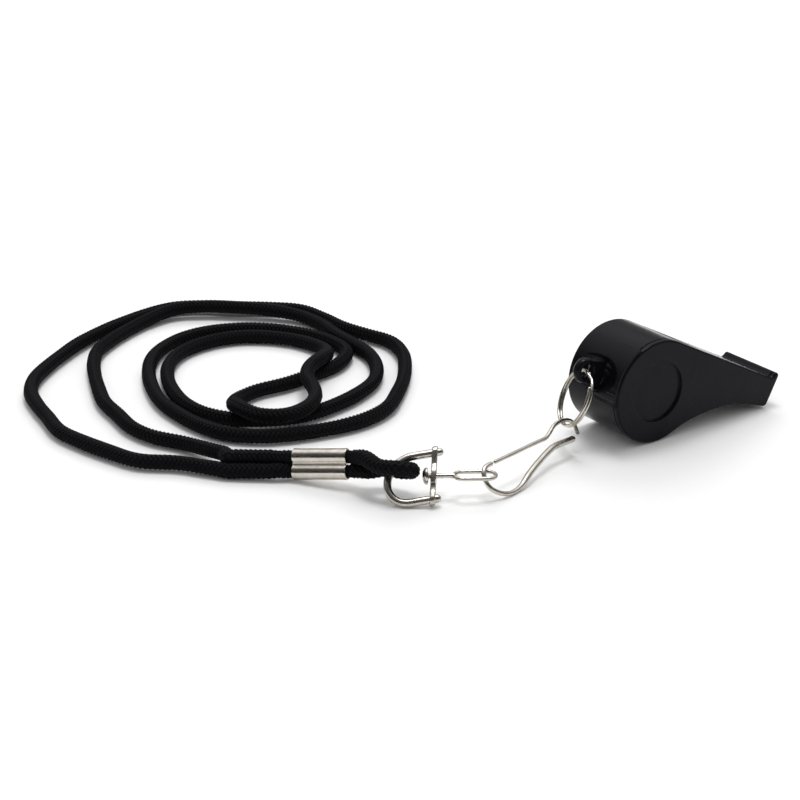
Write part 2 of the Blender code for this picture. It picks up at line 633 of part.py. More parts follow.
# Centre-line of the coil as laid on the floor: x, y and height.
# Two turns out from the tail.
OUTWARD = [
    (-38, -46.2, 2), (-44, -44.5, 2), (-51, -42, 2), (-60, -41, 2), (-67.5, -36, 2),
    (-75, -30, 2), (-81, -24, 2), (-85, -16, 2), (-89, -8, 2), (-92, 0, 2), (-92.5, 9, 2),
    (-90.5, 18, 2), (-88, 26, 2), (-85, 34, 2), (-80.5, 42, 2), (-75, 49.5, 2), (-69, 56.5, 2),
    (-62, 61.5, 2), (-53.5, 62.5, 2), (-45, 61.5, 2), (-36, 61, 2), (-27, 59, 2), (-21, 53, 2),
    (-15.5, 46, 2), (-9, 40.5, 2), (-2.5, 35, 2), (0.8, 26, 2), (1.3, 17, 2), (0.8, 8, 2),
    (-0.8, -1, 2), (-3, -9.5, 2), (-8, -16.5, 2), (-15, -21.5, 2), (-23.5, -25, 2),
    (-32, -27, 2), (-41, -25.5, 2), (-48, -20.5, 2), (-54, -13.5, 2), (-58.8, -6, 2),
    (-62, 3, 2), (-64, 12, 2), (-64.5, 21, 2), (-63, 29, 2), (-58.5, 37, 2), (-51.5, 42.5, 2),
    (-43, 44.7, 2), (-34, 44, 2), (-26, 41, 2), (-18.5, 35.5, 2), (-14, 28, 2), (-16, 19, 2),
    (-22, 12, 2), (-28.5, 6, 2), (-36, 1, 2)]
# The small loop on top, where the cord turns back.
TURN_BACK = [
    (-40, -4.5, 2.2), (-40.7, -11, 3.6), (-38.5, -18, 5.6), (-33.5, -23, 5.8),
    (-27, -23.2, 5.8), (-22.5, -18.5, 5.7), (-20.6, -11.5, 5.5), (-21.3, -4.5, 5.2),
    (-23.3, 2, 5.4), (-22.8, 8, 5.8), (-20.5, 13.5, 5.6)]
# The returning cord, also listed from the tail, so it is laid in reverse.
RETURN = [
    (-38, -42.6, 4), (-44, -37, 3), (-50.5, -31, 2), (-58, -27.5, 2), (-64, -22, 2),
    (-68.5, -14, 2), (-72.7, -6.5, 2), (-75.3, 2, 2), (-77.3, 10, 2), (-79, 19, 2),
    (-79.3, 28, 2), (-77, 36, 2), (-73.3, 44, 2), (-69, 51, 2.2), (-62, 57.5, 3),
    (-53, 58.8, 3.3), (-45, 58, 3.3), (-36, 57, 3), (-28, 54.5, 2.3), (-22, 49, 2),
    (-17.5, 41, 2), (-12.5, 33.5, 2), (-8, 26, 2), (-6, 17, 2), (-6.5, 8, 2), (-10, 0, 2),
    (-15.5, -7.5, 2), (-22, -13.5, 2), (-30, -17, 2), (-39, -17, 2), (-47, -13.5, 2),
    (-53, -7, 2), (-57, 2, 2), (-59, 10, 2), (-59.5, 19, 2), (-57, 28, 2), (-51, 35, 2),
    (-43, 38.8, 2), (-34, 38.5, 2), (-26, 35.3, 2), (-20.3, 29.5, 2.3), (-18.8, 21.5, 3.8)]

SETTLE_ROUNDS = 260
STRAIGHTEN, RETURN_PULL, PUSH_APART = 0.05, 0.14, 0.5    # share of each move made per pass
NEIGHBOURS = 5           # points this near along the cord don't push each other
FLOOR_GAP = 0.03


def settle(goal, fixed):
    """Spreads a laid cord until its runs hardly overlap, and none is under the floor."""
    path = goal.copy()
    index = np.arange(len(path))
    apart = np.abs(index[:, None] - index[None, :]) > NEIGHBOURS
    for _ in range(SETTLE_ROUNDS):
        bend = np.zeros_like(path)
        bend[1:-1] = (path[:-2] + path[2:]) / 2 - path[1:-1]
        path += STRAIGHTEN * bend + RETURN_PULL * (goal - path)
        for _ in range(2):
            delta = path[:, None, :] - path[None, :, :]
            gap = np.linalg.norm(delta, axis=2)
            hit = apart & (gap < CORD_SPACING)
            share = np.where(hit, (CORD_SPACING - gap) / np.maximum(gap, 1e-6), 0.0)
            push = share[:, :, None] * delta
            count = np.maximum(hit.sum(axis=1), 1)[:, None]
            path += PUSH_APART * push.sum(axis=1) / count
        path[:, 2] = np.maximum(path[:, 2], CORD_R + FLOOR_GAP)
        path[fixed] = goal[fixed]
    return path


def build_cord_coil():
    start, end = lane_pair(RUN_FROM - RUN_DIR * JOINT_GAP, RUN_DIR, RUN_LEAN, HALF_LANE)
    laid = spline([tuple(start)] + OUTWARD + TURN_BACK + RETURN[::-1] + [tuple(end)], LAID_STEP)
    # Both ends are held in line with the straight runs.
    laid[1] = laid[0] - RUN_DIR * LAID_STEP
    laid[-2] = laid[-1] - RUN_DIR * LAID_STEP
    path = resample(settle(laid, fixed=[0, 1, -2, -1]), COIL_STEP)
    make("cord_coil", tube(path, CORD_R, COIL_SIDES), cord("coil_black"), COIL_ORIGIN)


for old in list(bpy.data.objects):
    bpy.data.objects.remove(old, do_unlink=True)

build_body()
build_side_cover()
build_pea()
build_snap_hook()
build_hook_spring()
build_split_ring()
build_d_ring_bow()
build_d_ring_bar()
build_swivel()
build_ferrule()
build_cord_tail()
build_cord_runs()
build_cord_coil()
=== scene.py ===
"""Looks of a training whistle on a looped cord lanyard, lying on the floor.

Sizes are in millimetres with z up; mesh_of() moves each piece to the frame by SHIFT and scales it
to metres. The whistle lies at +x with its mouthpiece leaning down. From it a split ring, snap hook,
D-ring and ferrule run towards -x, where the cord lies in coils. The camera looks along +y and down.
Each piece rides on its body in the frame.
"""

import math

import bmesh
import bpy
import numpy as np
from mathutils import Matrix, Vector, noise


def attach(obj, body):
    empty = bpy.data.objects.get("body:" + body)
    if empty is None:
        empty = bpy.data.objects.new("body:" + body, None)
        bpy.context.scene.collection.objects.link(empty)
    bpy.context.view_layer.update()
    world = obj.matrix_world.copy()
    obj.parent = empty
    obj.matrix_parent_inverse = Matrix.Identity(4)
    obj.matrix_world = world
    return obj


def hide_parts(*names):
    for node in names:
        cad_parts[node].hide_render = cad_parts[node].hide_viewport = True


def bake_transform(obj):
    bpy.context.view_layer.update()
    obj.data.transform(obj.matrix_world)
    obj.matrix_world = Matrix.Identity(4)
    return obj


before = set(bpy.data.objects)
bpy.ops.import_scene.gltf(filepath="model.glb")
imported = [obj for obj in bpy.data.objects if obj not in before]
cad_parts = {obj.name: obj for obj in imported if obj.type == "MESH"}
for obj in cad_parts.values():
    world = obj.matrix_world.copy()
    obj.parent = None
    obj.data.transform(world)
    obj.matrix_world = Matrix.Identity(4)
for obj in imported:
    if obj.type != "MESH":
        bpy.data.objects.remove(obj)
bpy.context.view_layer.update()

TO_METRES = 0.001
SHIFT = np.array([0.389, -0.888, -0.006])


# ================================================================ geometry helpers
def unit(vector):
    vector = np.asarray(vector, float)
    return vector / np.linalg.norm(vector)


def square_to(vector, axis):
    """The unit vector nearest to the given one at right angles to a unit axis."""
    return unit(vector - axis * (vector @ axis))


def level_across(direction):
    return unit(np.cross([0, 0, 1.0], direction))


def across(direction, lean):
    """A unit vector across the direction, leaning up from level by an angle."""
    level = level_across(direction)
    return math.cos(lean) * level + math.sin(lean) * np.cross(direction, level)


def heading(yaw, climb):
    return np.array([math.cos(yaw) * math.cos(climb), math.sin(yaw) * math.cos(climb),
                     math.sin(climb)])


def on_plane(points, origin, first, second):
    """Flat points placed in space on two directions from an origin."""
    points = np.asarray(points, float)
    return origin + points[:, :1] * first + points[:, 1:2] * second


def smooth(x):
    x = np.clip(x, 0, 1)
    return x * x * (3 - 2 * x)


def lengths_along(path):
    return np.r_[0, np.cumsum(np.linalg.norm(np.diff(path, axis=0), axis=1))]


def resample(path, step, closed=False):
    if closed:
        path = np.vstack([path, path[0]])
    length = lengths_along(path)
    count = max(3, int(round(length[-1] / step)) + 1)
    wanted = np.linspace(0, length[-1], count)
    out = np.stack([np.interp(wanted, length, path[:, i]) for i in range(path.shape[1])], axis=1)
    return out[:-1] if closed else out


def between_knots(first, second, low, high, at):
    return (high - at) / (high - low) * first + (at - low) / (high - low) * second


def spline(points, step, fine=12):
    """An open centripetal Catmull-Rom curve through the points, at even spacing."""
    pts = np.asarray(points, float)
    pts = np.vstack([2 * pts[0] - pts[1], pts, 2 * pts[-1] - pts[-2]])
    out = []
    for start in range(len(pts) - 3):
        row = pts[start:start + 4]
        gaps = [max(np.linalg.norm(b - a), 1e-9) ** 0.5 for a, b in zip(row, row[1:])]
        knot = np.cumsum([0] + gaps)
        at = np.linspace(knot[1], knot[2], fine, endpoint=False)[:, None]
        row = [between_knots(row[i], row[i + 1], knot[i], knot[i + 1], at) for i in range(3)]
        row = [between_knots(row[i], row[i + 1], knot[i], knot[i + 2], at) for i in range(2)]
        out.append(between_knots(row[0], row[1], knot[1], knot[2], at))
    out.append(pts[-2:-1])
    return resample(np.vstack(out), step)


def tangents(path, closed=False):
    if closed:
        along = np.roll(path, -1, 0) - np.roll(path, 1, 0)
    else:
        along = np.gradient(path, axis=0)
    return along / np.linalg.norm(along, axis=1)[:, None]


def frames(path, closed=False):
    """Two unit vectors across the path at every point, turning as little as possible."""
    along = tangents(path, closed)
    first = np.cross(along[0], [0, 0, 1.0])
    if np.linalg.norm(first) < 0.1:
        first = np.cross(along[0], [0, 1.0, 0])
    rows = [unit(first)]
    for i in range(1, len(path)):
        rows.append(square_to(rows[-1], along[i]))
    side = np.array(rows)
    return side, np.cross(along, side)


def tube(path, radius, sides=20, closed=False, dome=0):
    """Points, faces and (length, cos, sin) coordinates of a round rod.

    dome is the number of rings in each rounded end of an open rod.
    """
    path = np.asarray(path, float)
    radius = np.broadcast_to(np.asarray(radius, float), (len(path),)).copy()
    side, over = frames(path, closed)
    if closed:
        # Spread the twist left at the join evenly round the loop.
        along = tangents(path, True)[0]
        last = square_to(side[-1], along)
        twist = math.atan2(np.cross(last, side[0]) @ along, last @ side[0])
        turn = np.linspace(0, twist, len(path), endpoint=False)[:, None]
        side, over = (side * np.cos(turn) + over * np.sin(turn),
                      over * np.cos(turn) - side * np.sin(turn))
    if dome:
        along = tangents(path)
        lean = np.radians(np.linspace(0, 90, dome + 2)[1:-1])
        head = [path[0] - along[0] * radius[0] * math.sin(k) for k in lean[::-1]]
        tail = [path[-1] + along[-1] * radius[-1] * math.sin(k) for k in lean]
        head_radius = [radius[0] * math.cos(k) for k in lean[::-1]]
        tail_radius = [radius[-1] * math.cos(k) for k in lean]
        path = np.vstack([head, path, tail])
        radius = np.r_[head_radius, radius, tail_radius]
        side, over = (np.vstack([np.repeat(v[:1], dome, 0), v, np.repeat(v[-1:], dome, 0)])
                      for v in (side, over))
    angle = np.arange(sides) * 2 * math.pi / sides
    ring = (np.cos(angle)[None, :, None] * side[:, None, :]
            + np.sin(angle)[None, :, None] * over[:, None, :])
    verts = (path[:, None, :] + ring * radius[:, None, None]).reshape(-1, 3)
    count = len(path)
    run = np.stack([np.repeat(lengths_along(path), sides), np.tile(np.cos(angle), count),
                    np.tile(np.sin(angle), count)], axis=1)
    return verts, ring_faces(count, sides, closed), run


def ring_faces(count, sides, closed=False):
    i = np.arange(count if closed else count - 1)[:, None]
    k = np.arange(sides)[None, :]
    next_i = (i + 1) % count
    next_k = (k + 1) % sides
    quads = np.stack([i * sides + k, i * sides + next_k, next_i * sides + next_k,
                      next_i * sides + k], axis=-1).reshape(-1, 4)
    faces = [tuple(quad) for quad in quads.tolist()]
    if not closed:
        faces.append(tuple(range(sides))[::-1])
        faces.append(tuple(range((count - 1) * sides, count * sides)))
    return faces


def loft(rings):
    return np.vstack(rings), ring_faces(len(rings), len(rings[0]))


def inset(outline, amount):
    """An outline moved towards its inside; it runs anticlockwise."""
    pts = np.asarray(outline, float)
    along = tangents(pts, True)
    return pts + amount * np.stack([-along[:, 1], along[:, 0]], axis=1)


def arc(radius, angles, at=(0, 0)):
    return np.stack([at[0] + radius * np.cos(angles), at[1] + radius * np.sin(angles)], axis=1)


def disc(radius, count, at=(0, 0)):
    return arc(radius, np.arange(count) * 2 * math.pi / count, at)


def rounded_rim(edge, size, out, degrees):
    """Layers (place, inset) of a rounded rim; out is +1 where the rim faces the positive way."""
    return [(edge - out * size * (1 - math.sin(k)), size * (1 - math.cos(k)))
            for k in np.radians(degrees)]


def flared_bore(start, direction, length, radius, flare, depth, overrun, sides):
    """Points and faces of a round cutter that widens by flare where it leaves the piece."""
    places = (-overrun, -0.02, depth, length - depth, length + 0.02, length + overrun)
    wide = radius + flare
    line = np.array([start + direction * place for place in places])
    return tube(line, [wide, wide, radius, radius, wide, wide], sides)[:2]


# ================================================================ mesh helpers
def mesh_of(name, verts, faces, run=None):
    """A mesh object in metres, facing out, with an optional coordinate along the piece."""
    verts = (np.asarray(verts, float) + SHIFT) * TO_METRES
    mesh = bpy.data.meshes.new(name)
    mesh.from_pydata(verts.tolist(), [], faces)
    if run is not None:
        add_vectors(mesh, "run", run)
    work = bmesh.new()
    work.from_mesh(mesh)
    bmesh.ops.recalc_face_normals(work, faces=work.faces)
    if work.calc_volume(signed=True) < 0:
        bmesh.ops.reverse_faces(work, faces=work.faces)
    work.to_mesh(mesh)
    work.free()
    return add_object(name, mesh)


def add_vectors(mesh, name, values):
    layer = mesh.attributes.new(name, "FLOAT_VECTOR", "POINT")
    layer.data.foreach_set("vector", np.asarray(values, np.float32).ravel())


def add_object(name, data):
    obj = bpy.data.objects.new(name, data)
    bpy.context.scene.collection.objects.link(obj)
    return obj


def carve(obj, steps):
    """Applies Booleans (operation, verts, faces) to a piece, one after another."""
    tools = []
    for i, (operation, verts, faces) in enumerate(steps):
        tool = mesh_of(f"{obj.name}_tool_{i}", verts, faces)
        mod = obj.modifiers.new(tool.name, "BOOLEAN")
        mod.operation = operation
        mod.solver = "EXACT"
        mod.object = tool
        tools.append(tool)
    bpy.context.view_layer.update()
    graph = bpy.context.evaluated_depsgraph_get()
    result = bpy.data.meshes.new_from_object(obj.evaluated_get(graph))
    obj.modifiers.clear()
    obj.data = result
    for tool in tools:
        bpy.data.objects.remove(tool, do_unlink=True)
    work = bmesh.new()
    work.from_mesh(obj.data)
    bmesh.ops.remove_doubles(work, verts=work.verts, dist=2e-7)
    bmesh.ops.dissolve_degenerate(work, edges=work.edges, dist=2e-7)
    work.to_mesh(obj.data)
    work.free()


def dress(obj, mat, angle=32.0, weighted=True):
    """Smooth shading with crisp edges over the angle, and one material."""
    mesh = obj.data
    mesh.materials.clear()
    mesh.materials.append(mat)
    mesh.polygons.foreach_set("material_index", [0] * len(mesh.polygons))
    mesh.polygons.foreach_set("use_smooth", [True] * len(mesh.polygons))
    if angle < 180:
        mesh.set_sharp_from_angle(angle=math.radians(angle))
    if weighted:
        mod = obj.modifiers.new("flat_faces_first", "WEIGHTED_NORMAL")
        mod.keep_sharp = True
        mod.weight = 80
        mod.mode = "FACE_AREA"
    mesh.update()


def hand_over(obj, body, part):
    """Ties a piece to its moving body and hides the one part of the frame it stands for."""
    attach(obj, body)
    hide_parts(part)


def wire_piece(name, rod, mat, body, part):
    """A piece that is one bare rod, as tube() gives it."""
    obj = mesh_of(name, *rod)
    dress(obj, mat, angle=60, weighted=False)
    hand_over(obj, body, part)


# ================================================================ shader nodes
class NodeTree:
    """A short way to write a node tree."""

    def __init__(self, tree):
        self.tree = tree
        self.coord = self.add("ShaderNodeTexCoord")

    def add(self, kind, **settings):
        node = self.tree.nodes.new(kind)
        for key, value in settings.items():
            setattr(node, key, value)
        return node

    def put(self, node, key, value):
        """Links or sets one input, given by its name or number."""
        socket = node.inputs[key]
        if isinstance(value, bpy.types.NodeSocket):
            self.tree.links.new(value, socket)
        else:
            socket.default_value = value

    def math(self, operation, first, second, clamp=False):
        node = self.add("ShaderNodeMath", operation=operation, use_clamp=clamp)
        self.put(node, 0, first)
        self.put(node, 1, second)
        return node.outputs[0]

    def plus(self, value, more):
        return self.math("ADD", value, more)

    def minus(self, value, less, clamp=False):
        return self.math("SUBTRACT", value, less, clamp)

    def times(self, value, by, clamp=False):
        return self.math("MULTIPLY", value, by, clamp)

    def span(self, value, over, to, ease="LINEAR"):
        """Maps a value from the range over to the range to, held at both ends."""
        node = self.add("ShaderNodeMapRange", interpolation_type=ease)
        self.put(node, "Value", value)
        for key, limit in zip(("From Min", "From Max", "To Min", "To Max"), (*over, *to)):
            self.put(node, key, limit)
        return node.outputs[0]


class Material(NodeTree):
    def __init__(self, name):
        self.mat = bpy.data.materials.new(name)
        self.mat.use_nodes = True
        super().__init__(self.mat.node_tree)
        self.bsdf = self.tree.nodes["Principled BSDF"]

    def shifted(self, offset):
        """Object coordinates moved by an offset, so that no two pieces match."""
        node = self.add("ShaderNodeVectorMath", operation="ADD")
        self.put(node, 0, self.coord.outputs["Object"])
        self.put(node, 1, offset)
        return node.outputs[0]

    def attribute(self, name):
        return self.add("ShaderNodeAttribute", attribute_name=name).outputs["Vector"]

    def scaled(self, vector, scale):
        node = self.add("ShaderNodeMapping")
        self.put(node, "Vector", vector)
        self.put(node, "Scale", scale)
        return node.outputs[0]

    def noise(self, vector, scale=1.0, detail=3.0, rough=0.5):
        node = self.add("ShaderNodeTexNoise")
        self.put(node, "Vector", vector)
        self.put(node, "Scale", scale)
        self.put(node, "Detail", detail)
        self.put(node, "Roughness", rough)
        return node.outputs["Fac"]

    def cells(self, vector, scale):
        node = self.add("ShaderNodeTexVoronoi")
        self.put(node, "Vector", vector)
        self.put(node, "Scale", scale)
        return node.outputs["Distance"]

    def ramp(self, value, *stops):
        """A colour ramp with two stops (place, colour)."""
        node = self.add("ShaderNodeValToRGB")
        self.put(node, "Fac", value)
        for mark, (place, colour) in zip(node.color_ramp.elements, stops):
            mark.position = place
            mark.color = (*colour, 1.0)
        return node.outputs["Color"]

    def mix(self, fac, first, second):
        node = self.add("ShaderNodeMix", data_type="RGBA")
        self.put(node, 0, fac)
        self.put(node, 6, first)
        self.put(node, 7, second)
        return node.outputs[2]

    def rounded(self, radius):
        """A normal that rounds crisp edges."""
        bevel = self.add("ShaderNodeBevel", samples=4)
        self.put(bevel, "Radius", radius)
        return bevel.outputs[0]

    def edge_mask(self, rounded, gain):
        """0 on open faces to 1 along crisp edges."""
        geometry = self.add("ShaderNodeNewGeometry")
        dot = self.add("ShaderNodeVectorMath", operation="DOT_PRODUCT")
        self.put(dot, 0, rounded)
        self.put(dot, 1, geometry.outputs["Normal"])
        lift = self.minus(1.0, dot.outputs["Value"], clamp=True)
        return self.times(lift, by=gain, clamp=True)

    def bump(self, height, strength, distance, normal=None):
        node = self.add("ShaderNodeBump")
        self.put(node, "Strength", strength)
        self.put(node, "Distance", distance)
        self.put(node, "Height", height)
        if normal is not None:
            self.put(node, "Normal", normal)
        return node.outputs[0]

    def set(self, **inputs):
        for key, value in inputs.items():
            self.put(self.bsdf, key.replace("_", " "), value)


# ================================================================ materials
def black_plastic(name, seed, rough):
    """Glossy moulded plastic: slight waviness, polish marks and a painted highlight in lighter
    patches along crisp edges.
    """
    dark = (0.0052, 0.0050, 0.0072)
    light = (0.0078, 0.0075, 0.0102)
    # Colour of the painted edge highlight.
    painted_edge_highlight = (0.026, 0.0255, 0.029, 1.0)
    nodes = Material(name)
    spot = nodes.shifted((seed, seed * 0.7, -seed))
    rounded = nodes.rounded(radius=0.00022)
    edge = nodes.edge_mask(rounded, gain=3.5)
    cloud = nodes.noise(spot, scale=170, detail=4, rough=0.6)
    grain = nodes.noise(spot, scale=2600, detail=2, rough=0.6)
    # Two crossing sets of fine polish marks.
    scratches = []
    for stretch, over in (((260, 6200, 900), (0.70, 0.76)), ((5200, 340, 1500), (0.71, 0.77))):
        scratch = nodes.noise(nodes.scaled(spot, stretch), detail=1, rough=0.4)
        scratches.append(nodes.span(scratch, over=over, to=(0.0, 1.0)))
    marks = nodes.math("MAXIMUM", *scratches)
    tint = nodes.ramp(cloud, (0.3, dark), (0.7, light))
    patches = nodes.span(nodes.noise(spot, scale=420), over=(0.42, 0.6), to=(0.1, 0.8))
    # Lighter colour in patches along crisp edges: a painted edge highlight.
    colour = nodes.mix(nodes.times(edge, by=patches, clamp=True), tint, painted_edge_highlight)
    roughness = nodes.span(cloud, over=(0.3, 0.7), to=(rough - 0.04, rough + 0.05))
    roughness = nodes.plus(roughness, nodes.times(marks, by=0.14))
    roughness = nodes.plus(roughness, nodes.times(edge, by=0.08))
    waves = nodes.times(nodes.noise(spot, scale=240, detail=2, rough=0.4), by=1.0)
    height = nodes.plus(waves, nodes.times(grain, by=0.05))
    normal = nodes.bump(height, strength=0.16, distance=0.00018, normal=rounded)
    normal = nodes.bump(marks, strength=0.12, distance=0.00002, normal=normal)
    nodes.set(Base_Color=colour, Roughness=roughness, Normal=normal, IOR=1.5,
              Specular_IOR_Level=0.09)
    return nodes.mat


def nickel(name, seed, rough, grain=None, tint=(0.64, 0.61, 0.565)):
    """Nickel plate: draw lines, cloudy tarnish and tiny pits.

    grain scales the draw lines in object axes; without it they follow the piece's run attribute.
    """
    aged = tuple(c * k for c, k in zip(tint, (0.80, 0.77, 0.72)))
    pit_colour = (0.22, 0.19, 0.16, 1.0)
    nodes = Material(name)
    spot = nodes.shifted((seed, -seed, seed * 0.4))
    if grain is None:
        stretched = nodes.scaled(nodes.attribute("run"), (0.22, 9.0, 9.0))
        rounded = None
    else:
        stretched = nodes.scaled(spot, grain)
        rounded = nodes.rounded(radius=0.00016)
    lines = nodes.noise(stretched, detail=3, rough=0.6)
    cloud = nodes.noise(spot, scale=420, detail=5, rough=0.62)
    pit = nodes.span(nodes.cells(spot, scale=2300), over=(0.0, 0.16), to=(1.0, 0.0))
    pit = nodes.times(pit, by=nodes.span(cloud, over=(0.60, 0.68), to=(0.0, 0.7)))
    colour = nodes.ramp(cloud, (0.34, aged), (0.62, tint))
    colour = nodes.mix(nodes.times(pit, by=0.5), colour, pit_colour)
    roughness = nodes.plus(nodes.span(cloud, over=(0.3, 0.7), to=(rough + 0.07, rough - 0.05)),
                           nodes.span(lines, over=(0.35, 0.7), to=(0.0, 0.09)))
    roughness = nodes.plus(roughness, nodes.times(pit, by=0.2))
    normal = nodes.bump(lines, strength=0.20, distance=0.00003, normal=rounded)
    height = nodes.minus(nodes.noise(spot, scale=900, detail=2), pit)
    normal = nodes.bump(height, strength=0.12, distance=0.00004, normal=normal)
    nodes.set(Base_Color=colour, Roughness=roughness, Normal=normal, Metallic=1.0)
    return nodes.mat


def cord_yarn(name, seed):
    """Black yarn: fibres along each yarn, painted shade in the crevices between yarns, a faint
    blue-grey sheen and lint.
    """
    # Colours of the painted shade in the crevices, and of the yarn crowns.
    crevice_shade = ((0.0010, 0.0010, 0.0014, 1.0), (0.0020, 0.0019, 0.0026, 1.0))
    crown = ((0.0024, 0.0023, 0.0031, 1.0), (0.0070, 0.0067, 0.0088, 1.0))
    lint_colour = (0.045, 0.044, 0.050, 1.0)
    nodes = Material(name)
    weave = nodes.attribute("weave")    # across the yarn, along it, height
    split = nodes.add("ShaderNodeSeparateXYZ")
    nodes.put(split, 0, weave)
    spot = nodes.coord.outputs["Object"]
    fibre = nodes.noise(nodes.scaled(weave, (9.0, 0.7, 0.0)), detail=2, rough=0.6)
    lint = nodes.noise(spot, scale=1500 + seed, detail=3, rough=0.65)
    cloud = nodes.noise(spot, scale=120)
    # By weave height: darker in the crevices between yarns as painted shade, lighter on the crowns.
    high = nodes.span(split.outputs["Z"], over=(0.15, 0.95), to=(0.0, 1.0))
    dark = nodes.mix(nodes.times(cloud, by=1.0), *crevice_shade)
    light = nodes.mix(nodes.span(fibre, over=(0.35, 0.7), to=(0.0, 1.0)), *crown)
    colour = nodes.mix(high, dark, light)
    colour = nodes.mix(nodes.span(lint, over=(0.66, 0.74), to=(0.0, 0.30)), colour, lint_colour)
    roughness = nodes.span(fibre, over=(0.3, 0.7), to=(0.50, 0.68))
    normal = nodes.bump(fibre, strength=0.55, distance=0.00006)
    normal = nodes.bump(lint, strength=0.25, distance=0.00005, normal=normal)
    nodes.set(Base_Color=colour, Roughness=roughness, Normal=normal, Sheen_Weight=0.02,
              Sheen_Roughness=0.45, Sheen_Tint=(0.80, 0.80, 0.90, 1.0), Specular_IOR_Level=0.07)
    return nodes.mat


def cork(name):
    dark = (0.24, 0.14, 0.07)
    light = (0.46, 0.31, 0.17)
    pore_colour = (0.09, 0.05, 0.025, 1.0)
    nodes = Material(name)
    spot = nodes.coord.outputs["Object"]
    grain = nodes.noise(spot, scale=900, detail=6, rough=0.7)
    pore = nodes.span(nodes.cells(spot, scale=1100), over=(0.1, 0.35), to=(1.0, 0.0))
    colour = nodes.ramp(grain, (0.3, dark), (0.7, light))
    colour = nodes.mix(nodes.times(pore, by=0.6), colour, pore_colour)
    height = nodes.minus(grain, nodes.times(pore, by=0.7))
    nodes.set(Base_Color=colour,
              Roughness=nodes.span(grain, over=(0.3, 0.7), to=(0.72, 0.9)),
              Normal=nodes.bump(height, strength=0.6, distance=0.00015))
    return nodes.mat


def floor_paper(name):
    nodes = Material(name)
    paper = nodes.noise(nodes.coord.outputs["Object"], scale=600)
    colour = nodes.ramp(paper, (0.3, (0.915,) * 3), (0.7, (0.925,) * 3))
    nodes.set(Base_Color=colour, Roughness=0.9, Specular_IOR_Level=0.1)
    return nodes.mat


# ================================================================ whistle
# Its own axes start at the barrel's centre: x to the mouthpiece, y across, z up.
BARREL_R = 12.75
HALF_WIDTH = 9.1
TIP_X = 38.0
WHISTLE_AT = np.array([55.6, -18.3, 12.78])
YAW = math.radians(35.2)
PITCH = math.radians(27.5)      # the mouthpiece leans down
WHISTLE_X = heading(YAW, -PITCH)
WHISTLE_Y = level_across(WHISTLE_X)
WHISTLE_Z = np.cross(WHISTLE_X, WHISTLE_Y)

RIM_FILLET = 0.55
FILLET_DEGREES = np.linspace(0, 90, 6)
COVER_T = 1.3                   # side cover, at -y
SEAM = 0.25
COVER_INNER_Y = -HALF_WIDTH + COVER_T
SHELL_EDGE_Y = COVER_INNER_Y + SEAM
SHELL_CHAMFER = 0.10
COVER_CHAMFER = 0.08

CHAMBER_R = 10.4
FAR_WALL = 1.4
PAD_R = (11.2, 8.8)             # thickening inside the barrel's back wall: outer, inner
# (x, z) corners of the air duct and of the slot in the top
DUCT = np.array([(39.5, 8.3), (39.5, 11.3), (9.0, 11.35), (9.0, 10.1)])
SLOT = np.array([(10.2, 14.5), (2.8, 14.5), (2.8, 12.7), (6.3, 9.9), (6.6, 7.4), (10.2, 8.6)])
SLOT_Y = (-HALF_WIDTH + 2.6, HALF_WIDTH - 2.4)

# The hollow in the back of the barrel and its wider mouth, both ellipsoids:
# distance from the barrel's axis, half sizes (outwards, round the barrel, across)
POCKET_ANGLE = math.radians(184.5)
POCKET_Y = 0.2
POCKET = (13.4, (3.6, 4.5, 7.6))
POCKET_MOUTH = (15.6, (3.9, 7.06, 11.5))

LUG_FROM_AXIS = 16.5
LUG_ANGLE = math.radians(185.5)
LUG_R = 3.1
LUG_HOLE = 1.6
LUG_T = 2.4
LUG_ROOT = 11.0                 # distance of the lug's foot from the axis
LUG_ROOT_HALF = 3.4
LUG = LUG_FROM_AXIS * np.array([math.cos(LUG_ANGLE), math.sin(LUG_ANGLE)])

# The cover's stepped tongue round the back of the barrel
TONGUE_FROM = 144.0
TONGUE_STEPS = [(198.5, 13.4), (206.0, 13.27), (213.0, 13.14)]      # end in degrees, outer radius
TONGUE_STEP_GAP = 0.6
TONGUE_IN = 12.95
TONGUE_Y = -1.0
RECESS_R = 7.35                 # round recess in the cover's outer face
RECESS_D = 0.7

PEA_R = 3.9
PEA_ORBIT = 4.3

# (x, z) along the hollowed underside, from the barrel to the tip
UNDERSIDE = [(10.05, -7.85), (12.9, -4.9), (16.0, -2.4), (20.0, 0.15), (24.4, 2.5), (29.0, 4.0),
             (34.0, 4.95), (TIP_X - 1.6, 5.3), (TIP_X - 0.6, 5.5)]
TIP_FACE = [(TIP_X - 0.05, 6.1), (TIP_X, 8.0), (TIP_X, 10.5), (TIP_X, 13.5)]
BEAD_R = 0.8                    # bite bead on top of the tip
BEAD_Z = 13.6
BEAD_FOOT = [(TIP_X - 1.75, 13.3), (TIP_X - 2.2, 12.78)]
TOP_X = (32.0, 30.0, 26.0, 22.0, 18.0, 14.0, 10.0, 7.0, 3.5)


def whistle_point(x, y, z):
    x, y, z = np.broadcast_arrays(np.asarray(x, float), y, z)
    return WHISTLE_AT + x[..., None] * WHISTLE_X + y[..., None] * WHISTLE_Y + z[..., None] * WHISTLE_Z


def slab(outline, layers):
    """An outline in the whistle's x, z plane lofted across its width; layers are (y, inset)."""
    rings = []
    for y, amount in layers:
        pts = inset(outline, amount) if amount else np.asarray(outline, float)
        rings.append(whistle_point(pts[:, 0], y, pts[:, 1]))
    return loft(rings)


def block(outline, low_y, high_y):
    return slab(outline, [(low_y, 0.0), (high_y, 0.0)])


